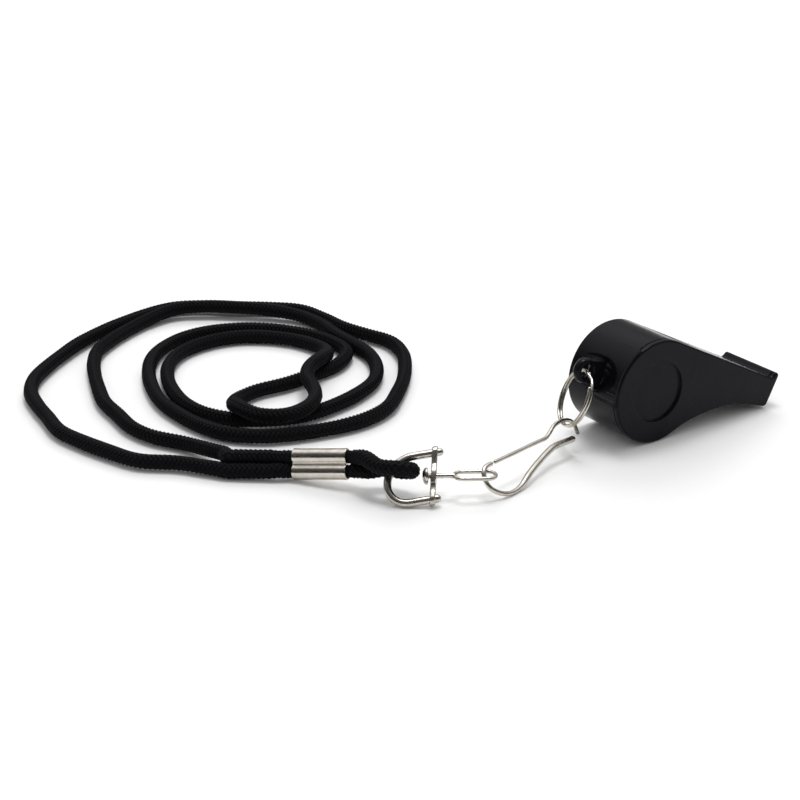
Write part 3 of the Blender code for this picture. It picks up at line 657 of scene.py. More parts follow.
def side_outline():
    """Underside, tip, bite bead, flat top and barrel, anticlockwise."""
    bead = arc(BEAD_R, np.radians(np.arange(18, 180, 18)), (TIP_X - BEAD_R, BEAD_Z))
    top = [(x, BARREL_R) for x in TOP_X]
    barrel = arc(BARREL_R, np.radians(np.arange(90, 320.5, 2.5)))
    return np.vstack([spline(UNDERSIDE, 0.55), TIP_FACE, bead, BEAD_FOOT, top, barrel])


SIDE_OUTLINE = side_outline()


def pocket(distance, half, grow=0.0):
    """An ellipsoid, open at its poles by one ring, at the back of the barrel."""
    sides, bands = 28, 18
    outward = np.array([math.cos(POCKET_ANGLE), math.sin(POCKET_ANGLE)])
    turning = np.array([-outward[1], outward[0]])
    angle = np.arange(sides) * 2 * math.pi / sides
    rings = []
    for i in range(1, bands):
        lat = math.pi * i / bands - math.pi / 2
        radial = (half[0] + grow) * math.cos(lat) * np.cos(angle) + distance
        along = (half[1] + grow) * math.cos(lat) * np.sin(angle)
        y = POCKET_Y + (half[2] + grow) * math.sin(lat) * np.ones(sides)
        x, z = (radial * outward[i] + along * turning[i] for i in (0, 1))
        rings.append(whistle_point(x, y, z))
    return loft(rings)


def lug():
    """A round-ended tab standing out of the pocket."""
    side = np.array([-math.sin(LUG_ANGLE), math.cos(LUG_ANGLE)])
    root = LUG * (LUG_ROOT / LUG_FROM_AXIS)
    end = arc(LUG_R, LUG_ANGLE + np.radians(np.arange(-100, 101, 5)), LUG)
    tab = np.vstack([end, root + side * LUG_ROOT_HALF, root - side * LUG_ROOT_HALF])
    return slab(tab, [(LUG_T / 2 * math.sin(k), 0.8 * (1 - math.cos(k)))
                      for k in np.radians(np.arange(-90, 91, 15))])


def build_shell():
    shell = mesh_of("whistle_shell", *slab(
        SIDE_OUTLINE, [(SHELL_EDGE_Y, SHELL_CHAMFER), (SHELL_EDGE_Y + SHELL_CHAMFER, 0.0)]
        + rounded_rim(HALF_WIDTH, RIM_FILLET, 1, FILLET_DEGREES)))
    back = np.radians(np.arange(156, 212.5, 2.5))
    pad = np.vstack([arc(PAD_R[0], back), arc(PAD_R[1], back)[::-1]])
    # The lug's hole widens towards both faces.
    hole = [(y, -0.55 * (abs(y) / 1.3) ** 2) for y in np.linspace(-1.9, 1.9, 13)]
    open_y = SHELL_EDGE_Y - 1
    far_y = HALF_WIDTH - FAR_WALL
    carve(shell, [
        ("DIFFERENCE", *block(disc(CHAMBER_R, 96), open_y, far_y)),
        ("UNION", *block(pad, SHELL_EDGE_Y + 0.02, HALF_WIDTH - 0.6)),
        ("DIFFERENCE", *block(DUCT, open_y, far_y - 0.4)),
        ("DIFFERENCE", *block(SLOT, *SLOT_Y)),
        ("DIFFERENCE", *pocket(*POCKET)),
        ("DIFFERENCE", *pocket(*POCKET_MOUTH)),
        ("UNION", *lug()),
        ("DIFFERENCE", *slab(disc(LUG_HOLE, 32, LUG), hole)),
    ])
    dress(shell, black_plastic("abs_body", seed=0.31, rough=0.19))
    hand_over(shell, "whistle", "whistle_body")


def build_cover():
    face_y = -HALF_WIDTH
    cover = mesh_of("whistle_cover", *slab(
        SIDE_OUTLINE, rounded_rim(face_y, RIM_FILLET, -1, FILLET_DEGREES)[::-1]
        + [(COVER_INNER_Y - COVER_CHAMFER, 0.0), (COVER_INNER_Y, COVER_CHAMFER)]))
    outer = []
    begin = TONGUE_FROM
    for end, radius in TONGUE_STEPS:
        count = max(3, int((end - begin) / 2) + 1)
        outer.append(arc(radius, np.radians(np.linspace(begin, end, count))))
        begin = end + TONGUE_STEP_GAP
    whole = np.radians(np.linspace(TONGUE_FROM, TONGUE_STEPS[-1][0], 35))
    tongue = np.vstack(outer + [arc(TONGUE_IN, whole[::-1])])
    # The skirt joins the tongue to the plate.
    skirt = np.vstack([arc(TONGUE_IN + 0.12, whole), arc(BARREL_R - 0.9, whole[::-1])])
    floor_y = face_y + RECESS_D
    recess = [(face_y - 1, -0.25), (face_y - 0.02, -0.22), (face_y + 0.06, -0.07),
              (face_y + 0.14, 0.0), (floor_y - 0.18, 0.0), (floor_y - 0.05, 0.05),
              (floor_y, 0.18)]
    carve(cover, [
        ("UNION", *slab(tongue, [(face_y + 0.35, 0.0), (TONGUE_Y - 0.12, 0.0), (TONGUE_Y, 0.07)])),
        ("UNION", *block(skirt, face_y + 0.45, COVER_INNER_Y - 0.05)),
        ("DIFFERENCE", *pocket(*POCKET, grow=0.25)),
        ("DIFFERENCE", *slab(disc(RECESS_R, 128), recess)),
    ])
    dress(cover, black_plastic("abs_cover", seed=1.73, rough=0.21))
    hand_over(cover, "whistle", "whistle_side_cover")


def build_pea():
    """A lumpy, pored ball at the lowest place in the chamber."""
    low = math.radians(-90) + PITCH
    centre = whistle_point(PEA_ORBIT * math.cos(low), 0.0, PEA_ORBIT * math.sin(low))
    ball = bmesh.new()
    bmesh.ops.create_icosphere(ball, subdivisions=5, radius=1.0)
    pts = np.array([v.co for v in ball.verts])
    lumps = np.array([noise.noise(Vector(at) * 2.1) * 0.035 + noise.noise(Vector(at) * 7.0) * 0.018
                      for at in pts])
    pores = np.array([noise.noise(Vector(at) * 16.0 + Vector((5, 1, 2))) for at in pts])
    lumps -= 0.035 * smooth((pores - 0.25) / 0.25)
    pts = centre + pts * (PEA_R * 0.985 * (1 + lumps))[:, None]
    faces = [tuple(v.index for v in face.verts) for face in ball.faces]
    pea = mesh_of("whistle_pea_cork", pts, faces)
    ball.free()
    dress(pea, cork("cork"), angle=180, weighted=False)
    hand_over(pea, "pea", "whistle_pea")


# ================================================================ hook and split ring
HOOK_AT = np.array([18.9, -56.3, 5.1])
HOOK_TO = np.array([38.46, -32.92, 6.0])
HOOK_TILT = math.radians(50.0)
HOOK_ALONG = unit(HOOK_TO - HOOK_AT)
HOOK_ACROSS = across(HOOK_ALONG, HOOK_TILT)
HOOK_WIRE = 0.56                # wire radii
LIMB_WIRE = 0.78
SPRING_WIRE = 0.47
WIRE_STEP = 0.22

# (along, across) from HOOK_AT: the stiff limb with its hooked end, and the gate wire
LIMB = [(31.2, -2.45), (29.3, -2.3), (26.8, -2.0), (24.2, -1.9), (21.4, -2.3), (18.2, -3.0),
        (14.9, -3.8), (11.9, -4.7), (9.0, -5.7), (6.4, -6.1), (4.0, -5.9), (2.0, -5.1),
        (0.6, -4.0), (-0.3, -2.8), (-0.55, -1.6), (-0.3, -0.3), (0.3, 0.9), (1.2, 1.6),
        (2.3, 1.9), (3.7, 1.85)]
GATE = [(5.3, 1.78), (8.0, 1.6), (13.8, 1.3), (18.0, 1.1), (21.2, 0.9), (23.5, 0.8),
        (25.0, 1.2), (26.6, 1.8), (28.2, 2.35), (30.0, 2.5), (32.0, 2.3), (33.7, 1.6),
        (34.4, 0.5), (34.2, -0.7), (33.7, -2.0)]

RING_ON_HOOK = (31.7, 1.0)      # (along, across) on the hook
RING_WIRE = 0.33
RING_PITCH = 0.70
RING_SIDE = np.array([0.38, -0.85, 0.35])
RING_BEGIN = math.radians(62)
RING_STEP_FROM = 318            # degrees into the coil where it steps to its second turn
RING_STEP_OVER = 24


def hook_points(points):
    return on_plane(points, HOOK_AT, HOOK_ALONG, HOOK_ACROSS)


def build_hook():
    limb = spline(LIMB, WIRE_STEP)
    # The limb is thicker away from the hooked end.
    thick = smooth((limb[:, 0] - 6.0) / 6.0) * (limb[:, 1] < -1.0)
    radius = HOOK_WIRE + (LIMB_WIRE - HOOK_WIRE) * thick
    wire_piece("snap_hook_wire", tube(hook_points(limb), radius, 24, dome=5),
               nickel("nickel_hook", seed=0.11, rough=0.19), "hook", "snap_hook")


def build_gate():
    gate = hook_points(spline(GATE, WIRE_STEP))
    wire_piece("snap_hook_gate_wire", tube(gate, SPRING_WIRE, 24, dome=5),
               nickel("nickel_gate", seed=0.53, rough=0.2), "spring", "snap_hook_spring")


def build_split_ring():
    """Nearly two flat turns of wire through the whistle's lug and round the hook's end."""
    at_lug = whistle_point(LUG[0], 0.0, LUG[1])
    at_hook = hook_points([RING_ON_HOOK])[0]
    centre = (at_lug + at_hook) / 2
    radius = np.linalg.norm(at_lug - at_hook) / 2
    first = unit(at_lug - at_hook)
    second = square_to(unit(RING_SIDE), first)
    turn = np.radians(np.arange(0, 361 + RING_STEP_FROM, 2.0))
    rise = RING_PITCH * (smooth((np.degrees(turn) - RING_STEP_FROM) / RING_STEP_OVER) - 0.5)
    helix = on_plane(arc(radius, turn + RING_BEGIN), centre, first, second)
    helix = helix + rise[:, None] * np.cross(first, second)
    wire_piece("split_ring_wire", tube(helix, RING_WIRE, 22, dome=3),
               nickel("nickel_ring", seed=0.87, rough=0.17), "ring", "split_ring")


# ================================================================ D-ring and swivel
D_AT = np.array([-2.78, -57.7, 4.13])       # apex of the bow
D_YAW = math.radians(-2.0)
D_TILT = math.radians(45.0)
D_PITCH = math.radians(1.8)
D_ROLL = math.radians(9.0)      # turns the bow's long axis within its plane
D_SKEW = math.radians(3.0)      # sets the bar out of square with the bow
D_HALF = 5.5
D_WIRE = 0.93
D_LEGS = (7.0, 8.4, 11.45)      # stations along each straight leg
BAR_FROM_APEX = 10.4
BAR_T = 1.3
BAR_END_R = 1.5
BAR_RIM = 0.3
BAR_RIM_DEGREES = [90, 67, 45, 22, 0]
# (across, half height) along one side of the bar: a boss in the middle between two necks
BAR_SIDE = [(D_HALF, BAR_END_R), (4.3, 1.28), (3.2, 1.06), (2.4, 1.08), (1.6, 1.5), (0.8, 1.78),
            (0.0, 1.86), (-0.8, 1.78), (-1.6, 1.5), (-2.4, 1.08), (-3.2, 1.06), (-4.3, 1.28),
            (-D_HALF, BAR_END_R)]
BAR_FLARE = 0.14

BOW_ANGLE = math.radians(35.0)  # where on the bow the cord goes round it

SHANK_R = 0.55
SHANK_HOLE = 0.95
EYE_DIR = unit([1.0, 0.066, -0.014])
EYE_WIRE = 0.46
EYE_HALF = 1.92
EYE_FROM = 4.6
EYE_TO = 13.9
# (distance from the bar, radius): head inside the D, shank, and collar at the eye
SHANK = [(-2.55, 0.25), (-2.52, 0.7), (-2.42, 1.1), (-2.22, 1.5), (-1.95, 1.8), (-1.65, 1.95),
         (-1.45, 1.9), (-1.32, 1.68), (-1.25, 0.9), (-1.15, SHANK_R + 0.05), (-0.9, SHANK_R),
         (3.2, SHANK_R), (3.7, SHANK_R + 0.02), (4.2, SHANK_R + 0.07), (4.6, SHANK_R + 0.10),
         (4.85, SHANK_R - 0.06), (4.98, 0.25)]


def d_ring_axes():
    """Unit vectors from the apex to the bar, along the bar, and out of the ring's plane."""
    along = heading(D_YAW, D_PITCH)
    side = across(along, D_TILT)
    rolled = math.cos(D_ROLL) * along + math.sin(D_ROLL) * side
    skewed = math.cos(D_SKEW) * side + math.sin(D_SKEW) * along
    return rolled, skewed, unit(np.cross(rolled, skewed))


D_ALONG, D_ACROSS, D_NORMAL = d_ring_axes()


def build_bow():
    bend = np.radians(np.arange(-90, 91, 3.0))
    bow = [(x, -D_HALF) for x in D_LEGS[::-1]]
    bow += [(D_HALF * (1 - math.cos(k)), D_HALF * math.sin(k)) for k in bend]
    bow += [(x, D_HALF) for x in D_LEGS]
    path = on_plane(resample(np.array(bow), 0.3), D_AT, D_ALONG, D_ACROSS)
    wire_piece("d_ring_bow_wire", tube(path, D_WIRE, 28, dome=4),
               nickel("nickel_bow", seed=1.21, rough=0.21), "d_ring", "d_ring_bow")


def build_bar():
    end = arc(BAR_END_R, np.radians(np.arange(-90, 91, 10.0)), (D_HALF, 0))
    half = np.vstack([end, spline(BAR_SIDE, 0.25)[1:-1]])
    outline = np.vstack([half, -half])
    low = BAR_FROM_APEX - BAR_T / 2
    high = BAR_FROM_APEX + BAR_T / 2
    layers = rounded_rim(low, BAR_RIM, -1, BAR_RIM_DEGREES)
    layers += rounded_rim(high, BAR_RIM, 1, BAR_RIM_DEGREES[::-1])
    # The layers run from one face to the other, each face itself carrying no inset.
    rings = []
    for along, amount in layers:
        pts = inset(outline, amount) if amount else outline
        rings.append(on_plane(pts, D_AT + along * D_ALONG, D_ACROSS, D_NORMAL))
    bar = mesh_of("d_ring_cross_bar", *loft(rings))
    holes = ((-D_HALF, D_WIRE + 0.02), (0.0, SHANK_HOLE), (D_HALF, D_WIRE + 0.02))
    carve(bar, [("DIFFERENCE", *flared_bore(
        D_AT + low * D_ALONG + side * D_ACROSS, D_ALONG, BAR_T, radius, flare=BAR_FLARE,
        depth=BAR_FLARE, overrun=2.35, sides=40)) for side, radius in holes])
    dress(bar, nickel("nickel_bar", seed=1.57, rough=0.24, grain=(900, 900, 900)))
    hand_over(bar, "d_ring", "d_ring_bar")


def build_swivel():
    """A long wire eye joined to the shank that turns in the bar."""
    origin = D_AT + BAR_FROM_APEX * D_ALONG
    eye = np.vstack([
        arc(EYE_HALF, np.radians(np.arange(-90, 91, 6)), (EYE_TO - EYE_HALF, 0)),
        arc(EYE_HALF, np.radians(np.arange(90, 271, 6)), (EYE_FROM + EYE_HALF, 0))])
    path = on_plane(eye, origin, EYE_DIR, level_across(EYE_DIR))
    verts, faces, _ = tube(resample(path, 0.25, closed=True), EYE_WIRE, 24, closed=True)
    swivel = mesh_of("swivel_eye_wire", verts, faces)
    line = np.array([origin + EYE_DIR * along for along, _ in SHANK])
    verts, faces, _ = tube(line, [radius for _, radius in SHANK], 32)
    carve(swivel, [("UNION", verts, faces)])
    dress(swivel, nickel("nickel_swivel", seed=1.93, rough=0.2, grain=(300, 2600, 2600)), angle=50)
    hand_over(swivel, "swivel", "swivel_eye")


# ================================================================ ferrule
FERRULE_FROM = np.array([-24.1, -46.0, 3.5])
FERRULE_TO = np.array([-11.7, -50.1, 5.4])
FERRULE_DIR = unit(FERRULE_TO - FERRULE_FROM)
FERRULE_LENGTH = np.linalg.norm(FERRULE_TO - FERRULE_FROM)
FERRULE_LEAN = math.radians(65)
FERRULE_ACROSS = across(FERRULE_DIR, FERRULE_LEAN)      # from one bore to the other
FERRULE_LANE = 3.45             # distance between the bores
FERRULE_R = 1.85
FERRULE_BORE = 1.52
# (across, height) of the dip between the two rounds
FERRULE_DIP = [(0.55, 1.43), (0.28, 1.2), (0.0, 1.12), (-0.28, 1.2), (-0.55, 1.43)]
FERRULE_ENDS = (0.03, 0.1, 0.2, 0.35)       # ring stations in from each end


def build_ferrule():
    """A sleeve like a figure eight, with softened, slightly swollen ends."""
    lobe = arc(FERRULE_R, np.radians(np.linspace(-118, 118, 41)), (FERRULE_LANE / 2, 0))
    meet = lobe[-1]
    dip = spline([meet, *FERRULE_DIP, (-meet[0], meet[1])], 0.12)[1:-1]
    half = np.vstack([lobe, dip])
    section = np.vstack([half, -half])
    length = FERRULE_LENGTH
    stations = np.r_[0.0, FERRULE_ENDS, np.arange(0.9, length - 0.6, 0.6),
                     [length - end for end in FERRULE_ENDS[::-1]], length]
    rise = np.cross(FERRULE_DIR, FERRULE_ACROSS)
    rings = []
    for along in stations:
        edge = min(along, length - along)
        rounding = 0.16 * max(0.0, 1 - edge / 0.14) ** 2
        swelling = 0.05 * math.exp(-((edge - 0.3) / 0.35) ** 2)
        pts = inset(section, rounding - swelling)
        uneven = [1 + 0.012 * noise.noise(Vector((along * 0.35, x * 0.5, y * 0.5))) for x, y in pts]
        pts = pts * np.array(uneven)[:, None]
        rings.append(on_plane(pts, FERRULE_FROM + FERRULE_DIR * along, FERRULE_ACROSS, rise))
    ferrule = mesh_of("ferrule_sleeve", *loft(rings))
    carve(ferrule, [("DIFFERENCE", *flared_bore(
        FERRULE_FROM + sign * FERRULE_LANE / 2 * FERRULE_ACROSS, FERRULE_DIR, length,
        FERRULE_BORE, flare=0.12, depth=0.2, overrun=2, sides=48)) for sign in (-1, 1)])
    dress(ferrule, nickel("nickel_ferrule", seed=2.31, rough=0.15, grain=(120, 900, 900),
                          tint=(0.68, 0.645, 0.59)))
    hand_over(ferrule, "tail", "ferrule")


# ================================================================ cord
# One centre-line runs through both lanes of the tail, the coils and the loop on the D-ring.
CORD_R = 1.72
CORD_SPACING = 3.5
HALF_LANE = CORD_SPACING / 2
CRIMPED_R = 1.26
SWING_AT = np.array([-36.0, -45.0, 3.1])    # joint between coils and run
LIFT_AT = np.array([-28.6, -45.5, 3.25])    # joint between run and tail
TAIL_DIR = unit(LIFT_AT - SWING_AT)
COIL_LEAN = math.radians(42)    # lean of the two lanes at the coils and at the loop
LOOP_LEAN = math.radians(152)
LAID_STEP = 2.4
LANE_MARGIN = 0.9
CUT_REACH = 3.7                 # pieces are cut this far beyond a joint

BOW_AT = (D_AT + D_HALF * (1 - math.cos(BOW_ANGLE)) * D_ALONG
          + D_HALF * math.sin(BOW_ANGLE) * D_ACROSS)
BOW_WIRE_DIR = unit(math.sin(BOW_ANGLE) * D_ALONG + math.cos(BOW_ANGLE) * D_ACROSS)
LOOP_OUT = unit([1.0, -0.35, 0.12])
LOOP_TURN = math.radians(22.0)
LOOP_R = 3.3
LOOP_SLACK = 1.1

CARRIERS = 8                    # yarns each way round the braid
BRAID_STEP = 1.13               # along the cord between neighbouring yarns
BRAID_RISE = 0.30
BRAID_WAVE = 0.17
BRAID_KNUCKLE = 0.11
YARN_FILL = 1.98                # narrows each yarn's round top within its lane
BRAID_SIDES = CARRIERS * 6
COILS = 5                       # pieces the coils are cut into

# (x, y, z) along the cord: the outer turns, the loop crossing over them, and the inner turns
OUTER = [
    (-38, -46.2, 2), (-44, -44.5, 2), (-51, -42, 2), (-60, -41, 2), (-67.5, -36, 2),
    (-75, -30, 2), (-81, -24, 2), (-85, -16, 2), (-89, -8, 2), (-92, 0, 2), (-92.5, 9, 2),
    (-90.5, 18, 2), (-88, 26, 2), (-85, 34, 2), (-80.5, 42, 2), (-75, 49.5, 2), (-69, 56.5, 2),
    (-62, 61.5, 2), (-53.5, 62.5, 2), (-45, 61.5, 2), (-36, 61, 2), (-27, 59, 2), (-21, 53, 2),
    (-15.5, 46, 2), (-9, 40.5, 2), (-2.5, 35, 2), (0.8, 26, 2), (1.3, 17, 2), (0.8, 8, 2),
    (-0.8, -1, 2), (-3, -9.5, 2), (-8, -16.5, 2), (-15, -21.5, 2), (-23.5, -25, 2),
    (-32, -27, 2), (-41, -25.5, 2), (-48, -20.5, 2), (-54, -13.5, 2), (-58.8, -6, 2),
    (-62, 3, 2), (-64, 12, 2), (-64.5, 21, 2), (-63, 29, 2), (-58.5, 37, 2), (-51.5, 42.5, 2),
    (-43, 44.7, 2), (-34, 44, 2), (-26, 41, 2), (-18.5, 35.5, 2), (-14, 28, 2), (-16, 19, 2),
    (-22, 12, 2), (-28.5, 6, 2), (-36, 1, 2)]
LOOP = [
    (-40, -4.5, 2.2), (-40.7, -11, 3.6), (-38.5, -18, 5.6), (-33.5, -23, 5.8), (-27, -23.2, 5.8),
    (-22.5, -18.5, 5.7), (-20.6, -11.5, 5.5), (-21.3, -4.5, 5.2), (-23.3, 2, 5.4),
    (-22.8, 8, 5.8), (-20.5, 13.5, 5.6)]
# The inner turns are listed from the tail inwards, against the cord's run.
INNER = [
    (-44, -37, 3), (-50.5, -31, 2), (-58, -27.5, 2), (-64, -22, 2), (-68.5, -14, 2),
    (-72.7, -6.5, 2), (-75.3, 2, 2), (-77.3, 10, 2), (-79, 19, 2), (-79.3, 28, 2), (-77, 36, 2),
    (-73.3, 44, 2), (-69, 51, 2.2), (-62, 57.5, 3), (-53, 58.8, 3.3), (-45, 58, 3.3),
    (-36, 57, 3), (-28, 54.5, 2.3), (-22, 49, 2), (-17.5, 41, 2), (-12.5, 33.5, 2), (-8, 26, 2),
    (-6, 17, 2), (-6.5, 8, 2), (-10, 0, 2), (-15.5, -7.5, 2), (-22, -13.5, 2), (-30, -17, 2),
    (-39, -17, 2), (-47, -13.5, 2), (-53, -7, 2), (-57, 2, 2), (-59, 10, 2), (-59.5, 19, 2),
    (-57, 28, 2), (-51, 35, 2), (-43, 38.8, 2), (-34, 38.5, 2), (-26, 35.3, 2),
    (-20.3, 29.5, 2.3), (-18.8, 21.5, 3.8)]


def lanes_at(point, direction, lean, half):
    side = across(direction, lean)
    return point - side * half, point + side * half


def run_lanes(point):
    return lanes_at(point, TAIL_DIR, COIL_LEAN, HALF_LANE)


def tail_lanes():
    """The low and high lanes from the lift joint to the bow, and the index inside the ferrule."""
    mid = spline([LIFT_AT + TAIL_DIR * 0.1, FERRULE_FROM, FERRULE_TO,
                  0.5 * (FERRULE_TO + BOW_AT) + np.array([0.0, 0.0, 0.45]),
                  BOW_AT - 0.15 * LOOP_OUT], 0.8)
    lengths = lengths_along(mid)
    enter, leave = (lengths[np.argmin(np.linalg.norm(mid - end, axis=1))]
                    for end in (FERRULE_FROM, FERRULE_TO))
    last = lengths[-1]
    lanes = []
    for point, direction, along in zip(mid, tangents(mid), lengths):
        # The pair twists and spreads from coil to ferrule, then from ferrule to loop.
        lean = COIL_LEAN + (FERRULE_LEAN - COIL_LEAN) * smooth((along - 0.5) / (enter - 0.7))
        lean += (LOOP_LEAN - FERRULE_LEAN) * smooth((along - leave + 0.2) / (last - leave - 1.6))
        half = HALF_LANE + (FERRULE_LANE / 2 - HALF_LANE) * smooth(along / enter)
        half += (LOOP_R - FERRULE_LANE / 2) * smooth((along - leave - 2.2) / (last - leave - 2.8))
        # It is pinched together just outside both ends of the ferrule.
        pinch = smooth((enter - 0.3 - along) / 1.2) * smooth((along + 1.0) / 2.0)
        pinch += smooth((along - leave - 0.3) / 1.0) * smooth((leave + 5.0 - along) / 3.0)
        half -= 0.24 * pinch
        if enter - 0.2 < along < leave + 0.2:
            point = FERRULE_FROM + FERRULE_DIR * (along - enter)
            direction = FERRULE_DIR
        lanes.append(lanes_at(point, direction, lean, half))
    lanes = np.array(lanes)
    inside = int(np.argmin(np.abs(lengths - (enter + leave) / 2)))
    return lanes[:, 0], lanes[:, 1], inside


def bow_loop(low_to_high):
    """Half a circle round the D-ring's bow, from the low lane's side to the high lane's."""
    wire_way = square_to(BOW_WIRE_DIR, LOOP_OUT)
    side = np.cross(LOOP_OUT, wire_way)
    if side @ low_to_high < 0:
        side = -side
    turn_way = 1 if side[2] > 0 else -1
    side = math.cos(LOOP_TURN) * side - math.sin(LOOP_TURN) * wire_way * turn_way
    centre = BOW_AT + LOOP_SLACK * LOOP_OUT
    return np.array([centre + LOOP_R * (math.sin(k) * LOOP_OUT - math.cos(k) * side)
                     for k in np.radians(np.arange(0, 181, 22.5))])


def settle(path, fixed, spacing, rounds=260):
    """Spreads a laid cord towards the spacing between runs and keeps it above the floor."""
    stiffness, pull_back = 0.05, 0.14
    goal = path.copy()
    path = path.copy()
    index = np.arange(len(path))
    apart = np.abs(index[:, None] - index[None, :]) > 5
    for _ in range(rounds):
        bend = np.zeros_like(path)
        bend[1:-1] = (path[:-2] + path[2:]) / 2 - path[1:-1]
        path += stiffness * bend + pull_back * (goal - path)
        for _ in range(2):
            delta = path[:, None, :] - path[None, :, :]
            gap = np.linalg.norm(delta, axis=2)
            hit = apart & (gap < spacing)
            push = np.where(hit, (spacing - gap) / np.maximum(gap, 1e-6), 0.0)[:, :, None] * delta
            count = np.maximum(hit.sum(axis=1), 1)[:, None]
            path += 0.5 * push.sum(axis=1) / count
        path[:, 2] = np.maximum(path[:, 2], CORD_R + 0.03)
        path[fixed] = goal[fixed]
    return path


def laid_coils():
    start_low, start_high = run_lanes(SWING_AT - TAIL_DIR * LANE_MARGIN)
    laid = spline([tuple(start_low)] + OUTER + LOOP + INNER[::-1] + [tuple(start_high)], LAID_STEP)
    fixed = np.zeros(len(laid), bool)
    fixed[:2] = True
    fixed[-2:] = True
    laid[1] = laid[0] - TAIL_DIR * LAID_STEP
    laid[-2] = laid[-1] - TAIL_DIR * LAID_STEP
    return settle(laid, fixed, CORD_SPACING)


def centre_line():
    """From inside the ferrule's low lane back along the tail, round the coils, in by the high
    lane, round the D-ring and back into the ferrule."""
    low, high, inside = tail_lanes()
    cap = bow_loop(high[-1] - low[-1])
    laid = laid_coils()
    joint_gap = np.linalg.norm(LIFT_AT - SWING_AT)
    run = np.array([run_lanes(SWING_AT + TAIL_DIR * along)
                    for along in np.linspace(LANE_MARGIN, joint_gap - LANE_MARGIN, 6)])
    nodes = np.vstack([low[1:inside + 1][::-1], run[::-1, 0], laid, run[:, 1], high[1:-1],
                       cap[::-1], low[inside:-1][::-1]])
    return spline(nodes, BRAID_STEP / 6, fine=16)


def cord_radius(line):
    """The cord's radius along its line, squeezed where it passes through the ferrule."""
    radius = np.full(len(line), CORD_R)
    for i, point in enumerate(line):
        along = (point - FERRULE_FROM) @ FERRULE_DIR
        off_axis = np.linalg.norm(point - FERRULE_FROM - along * FERRULE_DIR)
        if -4 < along < FERRULE_LENGTH + 5 and off_axis < 3.2:
            squeeze = smooth((along + 0.8) / 0.8) * smooth((FERRULE_LENGTH + 1.6 - along) / 1.6)
            radius[i] += (CRIMPED_R + 0.06 - CORD_R) * squeeze
    return radius


def yarn_height(own, other, phase):
    """Index, offset from its middle and height of the yarns that run one way."""
    index = np.floor(own)
    offset = own - index - 0.5
    rounded = np.sqrt(np.maximum(0.0, 1 - (YARN_FILL * offset) ** 2))
    over = np.cos(2 * math.pi * (index + other - phase) / 4)
    return index, offset, BRAID_RISE * rounded + BRAID_WAVE * over


def braid(line, marks):
    """Surface points and (across, along, height) weave coordinates at every ring of the cord."""
    radius = cord_radius(line)
    side, over = frames(line)
    theta = np.arange(BRAID_SIDES) * 2 * math.pi / BRAID_SIDES
    turns = theta / (2 * math.pi) * CARRIERS
    right = turns[None, :] + marks[:, None] / BRAID_STEP
    left = turns[None, :] - marks[:, None] / BRAID_STEP
    right_index, right_offset, right_high = yarn_height(right, left, 1)
    left_index, left_offset, left_high = yarn_height(left, right, 3)
    lift = np.maximum(right_high, left_high)
    knuckle = -0.5 * (np.cos(2 * math.pi * right) + np.cos(2 * math.pi * left))
    wobble = 0.03 * np.sin(marks / 7.3) + 0.025 * np.sin(marks / 2.9 + 1.0)
    scale = (radius / CORD_R)[:, None]
    relief = lift - (BRAID_RISE + BRAID_WAVE) + 0.06 + BRAID_KNUCKLE * knuckle
    skin = radius[:, None] + scale * relief + wobble[:, None] * scale
    ring = (np.cos(theta)[None, :, None] * side[:, None, :]
            + np.sin(theta)[None, :, None] * over[:, None, :])
    surface = line[:, None, :] + ring * skin[:, :, None]
    # The index terms give each yarn its own part of the fibre texture.
    on_top = right_high > left_high
    across_yarn = np.where(on_top, right_offset, left_offset)
    across_yarn = across_yarn + np.where(on_top, right_index * 3.1, left_index * 5.7 + 40)
    # This height level is what the yarn material uses to paint shade into the crevices.
    level = np.clip((lift + BRAID_WAVE * 0.3) / (BRAID_RISE + BRAID_WAVE * 1.3), 0, 1)
    return surface, np.stack([across_yarn, np.where(on_top, left, right), level], axis=-1)


def blend_at(piece):
    """Bakes a piece's placement into its mesh; the piece crosses a joint and is tied to no body."""
    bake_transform(piece)


